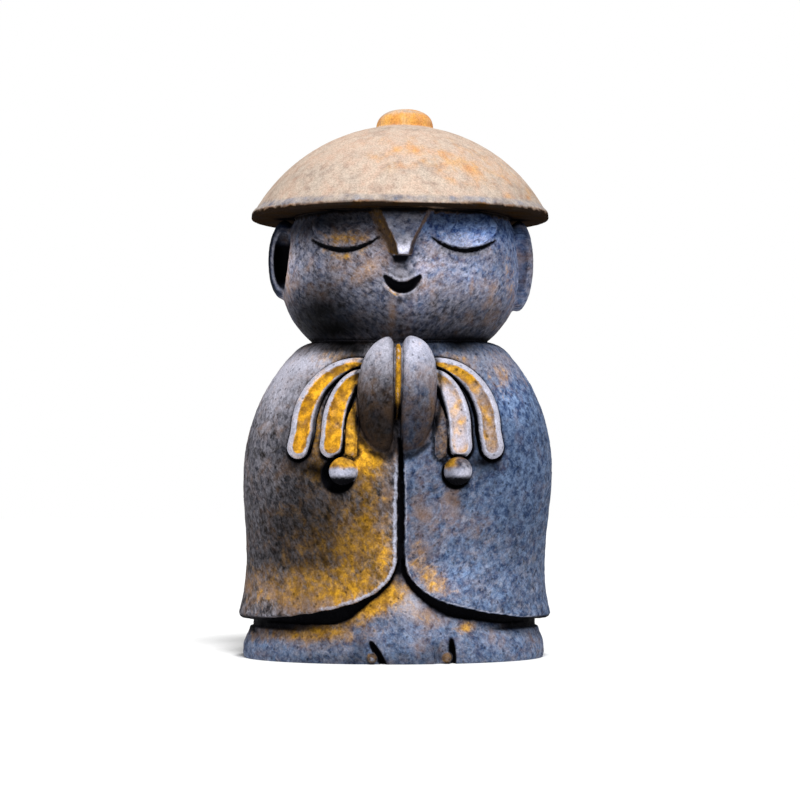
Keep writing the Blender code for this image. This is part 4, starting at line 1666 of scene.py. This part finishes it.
        # Painted shade in the left ear's bowl; a pale line along its ridge and a darker outer side.
        bowl = surface.form("ear_bowl_left", 0.006)
        ear = on("ear_left") * ramp(*fades.ear_front_y, surface.y)
        lay(ear * ramp(0.0004, -0.0004, bowl), blue=0.6, light=0.16)
        ridge = band((0.0, 0.0006), (0.0026, 0.0018), bowl) * band(*fades.ear_ridge, z)
        lay(ear * ridge, blue=0.75, pale=0.75, light=0.85)
        outer = ramp(0.0018, 0.0028, bowl) * ramp(*fades.ear_outer, z)
        lay(ear * outer, blue=0.7, light=0.12)
        # Painted highlight along the upper lip's lower edge.
        lip = on("upper_lip") * ramp(*fades.lip_top, z)
        low = band((0.0004, 0.001), (0.0028, 0.0016), surface.form("mouth"))
        lay(lip, blue=0.25 + 0.15 * low, warm=0.2, pale=0.6 + 0.4 * low, light=0.74 + 0.95 * low)
        # Painted highlight along the lower lip's rim, brighter on the viewer's left.
        cream = ramp(*fades.lip_cream_x, nose_x)
        lay(0.8 * on("lower_lip"), ochre=0.15 + 0.3 * cream, pale=0.8, light=1.15 + 0.55 * cream)
        for side, ochre in ((Side.LEFT, 0.35), (Side.RIGHT, 0.1)):
            path = [(x, y, z - 0.0024) for x, y, z in self.head.eye_path(side)[3:-3]]
            line = ramp(0.0012, 0.0002, swept(*surface.points.T, path, [0.0004] * len(path))) * surface.front
            lay(0.7 * line, ochre=ochre, pale=0.7, light=1.15)

    def paint_hat(self, surface: Surface) -> None:
        """Paints a highlight line along the rim, painted shade on the rim's lower half and underside, and the
        button.
        """
        lay, on = surface.lay, surface.on
        hat, z = self.hat, surface.z
        rise = (z - hat.rim_z) / hat.rim_thickness
        on_rim = (surface.form("hat") < 0.002) & (z < hat.rim_z + 2 * hat.rim_thickness)
        across = (surface.x - hat.shift) / hat.radius
        dip = 0.3 * np.exp(-((across - 0.15) / 0.4) ** 2)
        over = rise - (0.42 - dip + 0.15 * ramp(0.72, 0.98, np.abs(across)))
        # Painted highlight along the rim.
        lay(0.85 * on_rim * band((0.0, 0.12), (1.0, 0.6), over), blue=0.85, pale=0.6, light=0.9)
        # Painted shade, warm-toned, on the rim's lower half and underside.
        lay(ramp(0.08, -0.05, over) * on_rim, ochre=0.35, warm=0.75, light=0.03)
        top = ramp(*self.fades.button_top, z - hat.rim_z - hat.dome_rise)
        lay(on("button", inner=-0.0002), ochre=0.85 - 0.6 * top, warm=0.3, pale=0.8)

    def shades(self, surface: Surface, hollow: Array) -> Array:
        """Marks the painted shade: nearly black in carved lines and hollows, beside the folds and hands, in
        the ball sockets and under the balls, the nose and the hem.

        Args:
            surface: the points.
            hollow: how far each is shut in.

        Returns:
            The darkness at each, from 0 to 1.
        """
        x, y, z = surface.points.T
        fades, cloak = self.fades, surface.within(Region.CLOAK)
        # Painted shade in hollows, by how far they are shut in.
        dark = ramp(*fades.carved, hollow)
        folds = surface.nearest(*self.folds)
        # Painted shadow in the trenches beside the sleeve folds.
        dark = np.maximum(dark, 0.95 * cloak * band(*fades.beside_fold, folds))
        # Light falls into the gap beside the outer fold on the viewer's left.
        (gap_x, gap_z), (half_x, half_z) = fades.gap_light, fades.gap_light_half
        dark *= 1 - 0.8 * np.exp(-(((x - gap_x) / half_x) ** 2) - ((z - gap_z) / half_z) ** 2)
        hands = surface.nearest(*both("hand"))
        # Painted shadow round the hands.
        dark = np.maximum(dark, 0.9 * cloak * band(*fades.beside_hand, hands))
        # Painted shadow in the ball sockets and on the balls' undersides.
        rings, balls = (surface.nearest(*both(name)) for name in ("ball_ring", "ball"))
        off_ball, in_ring = fades.beside_ball
        dark = np.maximum(dark, ramp(*in_ring, rings) * ramp(*off_ball, balls))
        under = ramp(*fades.ball_under, z - self.arms.ball_z + self.arms.ball_sag)
        dark = np.maximum(dark, ramp(0.0006, 0.0, balls) * under)
        dark *= 1 - surface.on("palm_core", outer=0.001, inner=0.0003) * ramp(*fades.palm, z)
        toes = surface.on("toe_0", "toe_1", inner=0.0002)
        dark *= 1 - toes
        # Painted shade in the carved eyes, mouth, left ear's bowl and toe recesses.
        for name, reach in (("eye_left", 0.0006), ("eye_right", 0.0006), ("mouth", 0.0008),
                            ("ear_bowl_left", 0.001), ("toe_recess_0", 0.0009), ("toe_recess_1", 0.0009)):
            carved = surface.on(name, outer=reach, inner=0.2 * reach)
            if name == "ear_bowl_left":
                carved *= band(*fades.ear_bowl, z)
            dark = np.maximum(dark, carved * (1 - toes))
        # Painted shadow under the nose.
        aside, below = self.head.from_nose(x) + fades.nostril_shift, self.head.nose_sizes(z)[4]
        wide, tall = fades.nostril_half
        nose_shadow = ramp(1.3, 0.8, np.abs(aside) ** 3 / wide ** 3 + np.abs(below) ** 3 / tall ** 3)
        nose_shadow *= ramp(0.0, 0.0005, below)
        dark = np.maximum(dark, nose_shadow * surface.within(Region.HEAD) * surface.front)
        # Painted shadow behind the front edges of the cloak.
        edge, reach = self.cloak.from_edge(x, z), self.robe.shade_width(x)
        behind = np.maximum(ramp(-1.5 * reach, -1.0 * reach, edge), ramp(*fades.slit_from, z))
        behind = behind * ramp(0.0003, -0.0003, edge) * surface.front
        dark = np.maximum(dark, behind * ramp(*fades.band_from, z) * (z < fades.band_to))
        # Painted shadow under the hem.
        under = ramp(*fades.under_hem, z - self.cloak.hem_z) * ramp(*fades.under_hem_from, z)
        side = np.maximum(ramp(*fades.under_hem_x, np.abs(x)), (edge > 0) | (y > -0.03))
        return np.maximum(dark, under * side)

    def lines(self, surface: Surface) -> Array:
        """Marks the painted highlight along the front edges of the cloak.

        Args:
            surface: the points.

        Returns:
            The strength at each, from 0 to 1.
        """
        edge, across = self.cloak.from_edge(surface.x, surface.z), surface.leaned[:, 0]
        left = across < self.cloak.opening_shift
        width = np.where(left, 0.0024, 0.0012)
        line = ramp(0.0, 0.0005, edge) * ramp(1.15 * width, 0.75 * width, edge) * surface.front
        line = line * np.where(left, 0.7 * ramp(*self.fades.edge_line_x, across), 0.6)
        return line * surface.within(Region.CLOAK) * ramp(*self.fades.edge_line, surface.z)

    def make(self, finishes: dict[Region, Material]) -> Object:
        """Carves, brushes, thins and dresses the figure.

        Args:
            finishes: the finish of each region.

        Returns:
            The piece.
        """
        pitch = self.stance.pitch
        grid = Grid(self.stance.low, self.stance.high, pitch)
        points, faces = grid.net(grid.carve(self.forms))
        log.info("carved %d points, %d faces", len(points), len(faces))
        mesh = mesh_from("figure", points, faces)
        piece = placed("monk_figure", mesh)
        surface = Surface(self, points)
        brush, calm = self.brush(surface)
        write_attribute(mesh, "brush", brush)
        write_attribute(mesh, "relief", self.relief(surface, calm))
        BrushedRelief().apply(piece, finishes[Region.CLOAK])
        mesh = piece.data
        points = read(mesh.vertices, "co")
        points[:, 2] = np.maximum(points[:, 2], 0.0)
        mesh.vertices.foreach_set("co", self.stance.leaned(points).ravel())
        piece.modifiers.new("Triangles", "TRIANGULATE")
        thin = piece.modifiers.new("Thin", "DECIMATE")
        thin.ratio = min(1.0, self.stance.triangles / (2 * len(faces)))
        settle(piece)
        self.dress(piece, finishes)
        return piece

    def relief(self, surface: Surface, calm: Array) -> Array:
        """Weighs how strongly the brushed relief shows.

        Args:
            surface: the points.
            calm: 0 where the strokes change direction.

        Returns:
            The weight at each point.
        """
        work = self.work
        weight = np.where(surface.within(Region.HAT), work.hat_weight, 1.0)
        weight = np.where(surface.within(Region.HEAD), work.head_weight, weight)
        starts = ("eye", "nose", "mouth", "upper", "lower", "hand", "ball")
        fine = [f.name for f in self.forms if f.name.startswith(starts) or "fold" in f.name]
        weight = weight * mix(work.fine_weight, 1.0, ramp(*work.fine_fade, surface.nearest(*fine)))
        behind = mix(work.back_weight, 1.0, ramp(*work.back_y, surface.y))
        weight = weight * ramp(*work.ground_fade, surface.z) * behind
        return weight * mix(work.calm_weight, 1.0, calm)

    def dress(self, piece: Object, finishes: dict[Region, Material]) -> None:
        """Gives the thinned mesh its marks and its finishes.

        Args:
            piece: the piece.
            finishes: the finish of each region.
        """
        mesh = piece.data
        surface = Surface(self, self.stance.leaned(read(mesh.vertices, "co"), -1))
        self.paint(surface)
        brush, calm = self.brush(surface)
        edge, crease = self.bends(mesh)
        hollow = self.hollow(surface, read(mesh.vertex_normals, "vector"))
        # The light wash carries painted light and shade.
        for wash, amounts in surface.amounts.items():
            write_attribute(mesh, wash.value, np.clip(amounts, 0.0, 5.0 if wash is Wash.LIGHT else 1.0))
        # shade and crease carry painted shade; edge carries painted highlight on sharp edges and the cloak's
        # front edges, together with edge wear.
        for name, values in (("brush", brush), ("calm", calm), ("crease", crease),
                             ("edge", np.maximum(0.5 * edge, self.lines(surface))),
                             ("shade", self.shades(surface, hollow))):
            write_attribute(mesh, name, values)
        mesh.attributes.remove(mesh.attributes["relief"])
        mesh.materials.clear()
        for zone in Region:
            mesh.materials.append(finishes[zone])
        votes = surface.region[read(mesh.polygons, "vertices", np.int32)]
        chosen = np.where(votes[:, 1] == votes[:, 2], votes[:, 1], votes[:, 0])
        mesh.polygons.foreach_set("material_index", chosen.astype(np.int32))
        mesh.shade_smooth()
        mesh.update()


def linear(paint: Paint) -> tuple[float, float, float, float]:
    """Returns a colour picked on a screen, as the linear colour that a shader wants."""
    shares = [c / 255 / 12.92 if c <= 10 else ((c / 255 + 0.055) / 1.055) ** 2.4 for c in paint]
    return (*shares, 1.0)


class SharedEffects:
    """The shader node groups that every wash is made with, each built once."""

    def __init__(self) -> None:
        """Builds the groups."""
        self.strokes = self.build_strokes()
        self.wash = self.build_wash()
        self.grain = self.build_grain()

    def build_strokes(self) -> NodeTree:
        """Returns short brush strokes along one direction, which loosen where the direction changes."""
        t, given = Tree.group("brush_strokes", "ShaderNodeTree", {
            "Brush": "Vector", "Place": "Vector", "Calm": 1.0, "Length": 0.008, "Width": 0.0012, "Seed": 0.0,
        }, {"Value": "Float"})
        stretched = t.stretched(given["Brush"], given["Length"], given["Width"])
        along = t.noise(stretched, 1.0, 3.0, given["Seed"], Roughness=0.6, Distortion=0.9)
        loose = t.noise(given["Place"], t.per(given["Width"], 0.6), 3.0, given["Seed"])
        value = t.add("ShaderNodeMix", {"Factor": given["Calm"], "A": loose, "B": along}, data_type="FLOAT")
        t.add("NodeGroupOutput", {"Value": value.outputs["Result"]})
        return t.tree

    def build_wash(self) -> NodeTree:
        """Returns one layer of paint that breaks up as its amount falls."""
        t, given = Tree.group("wash_layer", "ShaderNodeTree", {
            "Under": (0.1, 0.1, 0.1, 1.0), "Paint": (0.5, 0.5, 0.5, 1.0), "Amount": 0.5, "Break": 0.5,
            "Softness": 0.18, "Cover": 1.0,
        }, {"Color": "Color"})
        threshold = t.math("SUBTRACT", 1.0, given["Amount"])
        spread = t.add("ShaderNodeMapRange", {"Value": given["Break"], "From Min": 0.28, "From Max": 0.72})
        low = t.math("SUBTRACT", threshold, given["Softness"])
        high = t.math("ADD", threshold, given["Softness"])
        present = t.span(given["Amount"], 0.0, 0.12)
        mask = t.times(t.times(t.span(spread.outputs[0], low, high), present), given["Cover"])
        t.add("NodeGroupOutput", {"Color": t.blend(mask, given["Under"], given["Paint"])})
        return t.tree

    def build_grain(self) -> NodeTree:
        """Returns fine sand grain, larger blotches and small pits."""
        t, given = Tree.group("stone_grain", "ShaderNodeTree", {
            "Place": "Vector", "Grain Size": 0.0009, "Blotch Size": 0.012, "Pit Size": 0.004,
        }, {"Grain": "Float", "Blotch": "Float", "Pit": "Float"})
        grain = t.noise(given["Place"], t.per(given["Grain Size"]), 2.0, Roughness=0.65)
        blotch = t.noise(given["Place"], t.per(given["Blotch Size"]), 4.0, Roughness=0.6, Distortion=0.5)
        cells = t.add("ShaderNodeTexVoronoi", {"Vector": given["Place"], "Scale": t.per(given["Pit Size"])})
        pit = t.span(cells.outputs["Distance"], 0.24, 0.1)
        t.add("NodeGroupOutput", {"Grain": grain, "Blotch": blotch, "Pit": pit})
        return t.tree


@dataclass(frozen=True)
class StoneWash:
    """A painted stone finish: a ground in two tones under washes that the figure's marks place, with the
    painted light and shade that the marks light, shade, crease and edge carry.
    """

    name: str
    ground: Paint
    ground_light: Paint
    slate: Paint = (40, 58, 92)
    slate_light: Paint = (106, 126, 158)
    earth: Paint = (148, 118, 96)
    ochre: Paint = (138, 98, 28)
    ochre_light: Paint = (220, 162, 34)
    ochre_cover: float = 0.95
    # Pale paint, which also carries painted highlights.
    chalk: Paint = (164, 164, 178)
    chalk_cover: float = 0.8
    # Colour of the painted highlight on edges, and of edge wear.
    line: Paint = (186, 190, 210)
    # Colour of the painted shade.
    black: Paint = (7, 7, 11)
    stroke_length: float = 0.0036
    stroke_width: float = 0.0021
    roughness: float = 0.72
    roughness_spread: float = 0.12
    gloss: float = 0.03
    pit_shade: float = 0.45
    bump: float = 0.5
    bump_distance: float = 0.0009

    def build(self, shared: SharedEffects) -> Material:
        """Makes the material.

        Args:
            shared: the node groups that all the finishes use.

        Returns:
            The material.
        """
        material = bpy.data.materials.new(self.name)
        material.use_nodes = True
        t = Tree(material.node_tree)
        shader = material.node_tree.nodes["Principled BSDF"]
        place = t.add("ShaderNodeTexCoord").outputs["Object"]
        marks = {name: t.add("ShaderNodeAttribute", attribute_name=name).outputs["Fac"]
                 for name in ("ochre", "blue", "warm", "pale", "light", "edge", "crease", "shade", "calm")}
        brush = t.add("ShaderNodeAttribute", attribute_name="brush").outputs["Vector"]

        def strokes(length: float, width: float, seed: float) -> Socket:
            """Returns a layer of strokes of one size."""
            return t.add("ShaderNodeGroup", {"Brush": brush, "Place": place, "Calm": marks["calm"],
                                             "Length": length, "Width": width, "Seed": seed},
                         node_tree=shared.strokes).outputs["Value"]

        def wash(under: object, paint: object, amount: object, breaks: object, softness: float,
                 cover: float = 1.0) -> Socket:
            """Returns the colour after one more layer of paint."""
            return t.add("ShaderNodeGroup", {"Under": under, "Paint": paint, "Amount": amount,
                                             "Break": breaks, "Softness": softness, "Cover": cover},
                         node_tree=shared.wash).outputs["Color"]

        def tones(factor: object, dark: Paint, light: Paint, high: float) -> Socket:
            """Returns a colour between two tones."""
            return t.blend(t.span(factor, 0.38, high), linear(dark), linear(light))

        grain = t.add("ShaderNodeGroup", {"Place": place}, node_tree=shared.grain).outputs
        broad = strokes(self.stroke_length * 1.5, self.stroke_width * 1.9, 1.0)
        fine = strokes(self.stroke_length, self.stroke_width, 5.0)
        cross = strokes(self.stroke_length * 0.8, self.stroke_width * 1.3, 9.0)
        color = tones(fine, self.ground, self.ground_light, 0.66)
        slate = tones(cross, self.slate, self.slate_light, 0.64)
        color = wash(color, slate, marks["blue"], broad, 0.6)
        color = wash(color, linear(self.earth), marks["warm"], grain["Blotch"], 0.45, 0.8)
        color = wash(color, linear(self.chalk), marks["pale"], fine, 0.6, self.chalk_cover)
        yellow = tones(cross, self.ochre, self.ochre_light, 0.66)
        color = wash(color, yellow, marks["ochre"], broad, 0.45, self.ochre_cover)
        # Painted highlight on sharp edges and along the cloak's front edges, together with edge wear.
        worn = t.times(marks["edge"], t.span(grain["Blotch"], 0.25, 0.5, 0.6, 1.0))
        color = wash(color, linear(self.line), worn, fine, 0.4, 0.85)
        # The light mark multiplies the colour: painted light and shade, with the grain's speckle.
        speckle = t.span(grain["Grain"], 0.3, 0.7, 0.8, 1.18)
        color = t.blend(1.0, color, t.times(marks["light"], speckle), blend_type="MULTIPLY")
        # Painted shade in creases and pits, joined with the painted shade of the shade mark.
        sunk = t.math("MAXIMUM", t.times(marks["crease"], 0.5), t.times(grain["Pit"], self.pit_shade))
        dark = t.math("MAXIMUM", marks["shade"], sunk, clamp=True)
        rough = t.span(grain["Blotch"], 0.3, 0.7, self.roughness - self.roughness_spread,
                       self.roughness + self.roughness_spread)
        height = t.math("ADD", t.times(broad, 0.9), t.times(fine, 0.7))
        height = t.math("ADD", height, t.times(grain["Grain"], 0.25))
        height = t.math("SUBTRACT", height, t.times(grain["Pit"], 0.8))
        bump = t.add("ShaderNodeBump", {"Height": height, "Strength": self.bump,
                                        "Distance": self.bump_distance}).outputs["Normal"]
        # The base colour goes to black where there is painted shade.
        for key, socket in (("Base Color", t.blend(dark, color, linear(self.black))), ("Roughness", rough),
                            ("Normal", bump)):
            t.tree.links.new(socket, shader.inputs[key])
        shader.inputs["Specular IOR Level"].default_value = self.gloss
        return material


class LampKind(Enum):
    """The kinds of lamp: an even light from far away, and a soft square near by."""

    EVEN = "SUN"
    SQUARE = "AREA"


@dataclass(frozen=True)
class Lamp:
    """A soft lamp. Its size is the angle in degrees that it fills, or the side of its square."""

    name: str
    kind: LampKind
    place: Point
    size: float
    power: float
    tint: Point = (1.0, 1.0, 1.0)
    target: Point = (0.0, 0.0, 0.12)

    def build(self) -> None:
        """Puts the lamp in the scene."""
        data = bpy.data.lights.new(self.name, self.kind.value)
        data.energy, data.color = self.power, self.tint
        if self.kind is LampKind.EVEN:
            data.angle = math.radians(self.size)
        else:
            data.size = self.size
        aim(placed(self.name, data), Vector(self.place), Vector(self.target))


@dataclass
class Studio:
    """The pale floor, the soft lights and the camera at the photograph's place."""

    camera_distance: float = 1.37
    camera_turn: float = -1.8
    target_z: float = 0.092
    view_width: float = 0.4396
    shift_x: float = 5.5 / 800
    shift_y: float = 88.6 / 800
    sensor_width: float = 36.0
    floor_reach: float = 6.0
    floor_tone: float = 0.9
    sky_strength: float = 0.32
    lamps: tuple[Lamp, ...] = (
        Lamp("key", LampKind.EVEN, (0.1, -0.72, 1.3), 14.0, 3.6),
        Lamp("fill", LampKind.SQUARE, (-0.9, -0.95, 0.5), 0.8, 1.5, (1.0, 0.97, 0.92)),
    )

    def floor(self) -> Object:
        """Returns the plain floor."""
        mesh = bpy.data.meshes.new("floor")
        reach = self.floor_reach
        mesh.from_pydata([(-reach, -reach, 0), (reach, -reach, 0), (reach, reach, 0), (-reach, reach, 0)], [],
                         [(0, 1, 2, 3)])
        floor = placed("floor", mesh)
        material = bpy.data.materials.new("pale_floor")
        material.use_nodes = True
        shader = material.node_tree.nodes["Principled BSDF"]
        shader.inputs["Base Color"].default_value = (*[self.floor_tone] * 3, 1.0)
        shader.inputs["Roughness"].default_value = 0.9
        mesh.materials.append(material)
        return floor

    def build(self) -> None:
        """Sets up the floor, the lights, the sky and the camera."""
        scene = bpy.context.scene
        self.floor()
        for lamp in self.lamps:
            lamp.build()
        world = bpy.data.worlds.new("pale_room")
        world.use_nodes = True
        t = Tree(world.node_tree)
        background = world.node_tree.nodes["Background"]
        background.inputs["Color"].default_value = (1.0, 1.0, 1.0, 1.0)
        seen = t.add("ShaderNodeLightPath").outputs["Is Camera Ray"]
        t.tree.links.new(t.span(seen, 0.0, 1.0, self.sky_strength, 1.0), background.inputs["Strength"])
        scene.world = world
        scene.view_settings.view_transform = "Standard"
        turn = math.radians(self.camera_turn)
        target = Vector((0.0, 0.0, self.target_z))
        data = bpy.data.cameras.new("camera")
        scene.camera = placed("camera", data)
        out = Vector((math.sin(turn), -math.cos(turn), 0.0))
        aim(scene.camera, target + self.camera_distance * out, target)
        data.sensor_width = self.sensor_width
        data.lens = self.sensor_width * self.camera_distance / self.view_width
        data.shift_x, data.shift_y = self.shift_x, self.shift_y


def main() -> None:
    """Loads the frame, builds the figure on it, dresses it and sets up the studio."""
    logging.basicConfig(level=logging.INFO, format="%(message)s")
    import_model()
    shared = SharedEffects()
    finishes = {
        Region.CLOAK: StoneWash("cloak_wash", (36, 32, 30), (96, 90, 90)),
        Region.ROBE: StoneWash("robe_wash", (50, 50, 56), (124, 122, 124)),
        Region.HEAD: StoneWash("skin_wash", (44, 42, 46), (116, 113, 124), slate=(24, 42, 82),
                               slate_light=(92, 112, 148), stroke_length=0.0034, stroke_width=0.0019),
        Region.HAT: StoneWash("hat_wash", (150, 132, 122), (184, 168, 156), earth=(208, 172, 150),
                              ochre=(206, 136, 66), ochre_light=(232, 172, 84), chalk=(204, 188, 172),
                              stroke_length=0.005, stroke_width=0.003, bump=0.25, pit_shade=0.0, gloss=0.0),
    }
    built = {region: finish.build(shared) for region, finish in finishes.items()}
    piece = Figure().make(built)
    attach(piece, "root")
    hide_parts("monk_statue")
    log.info("%s: %d triangles", piece.name, len(piece.data.polygons))
    Studio().build()


if __name__ == "__main__":
    main()
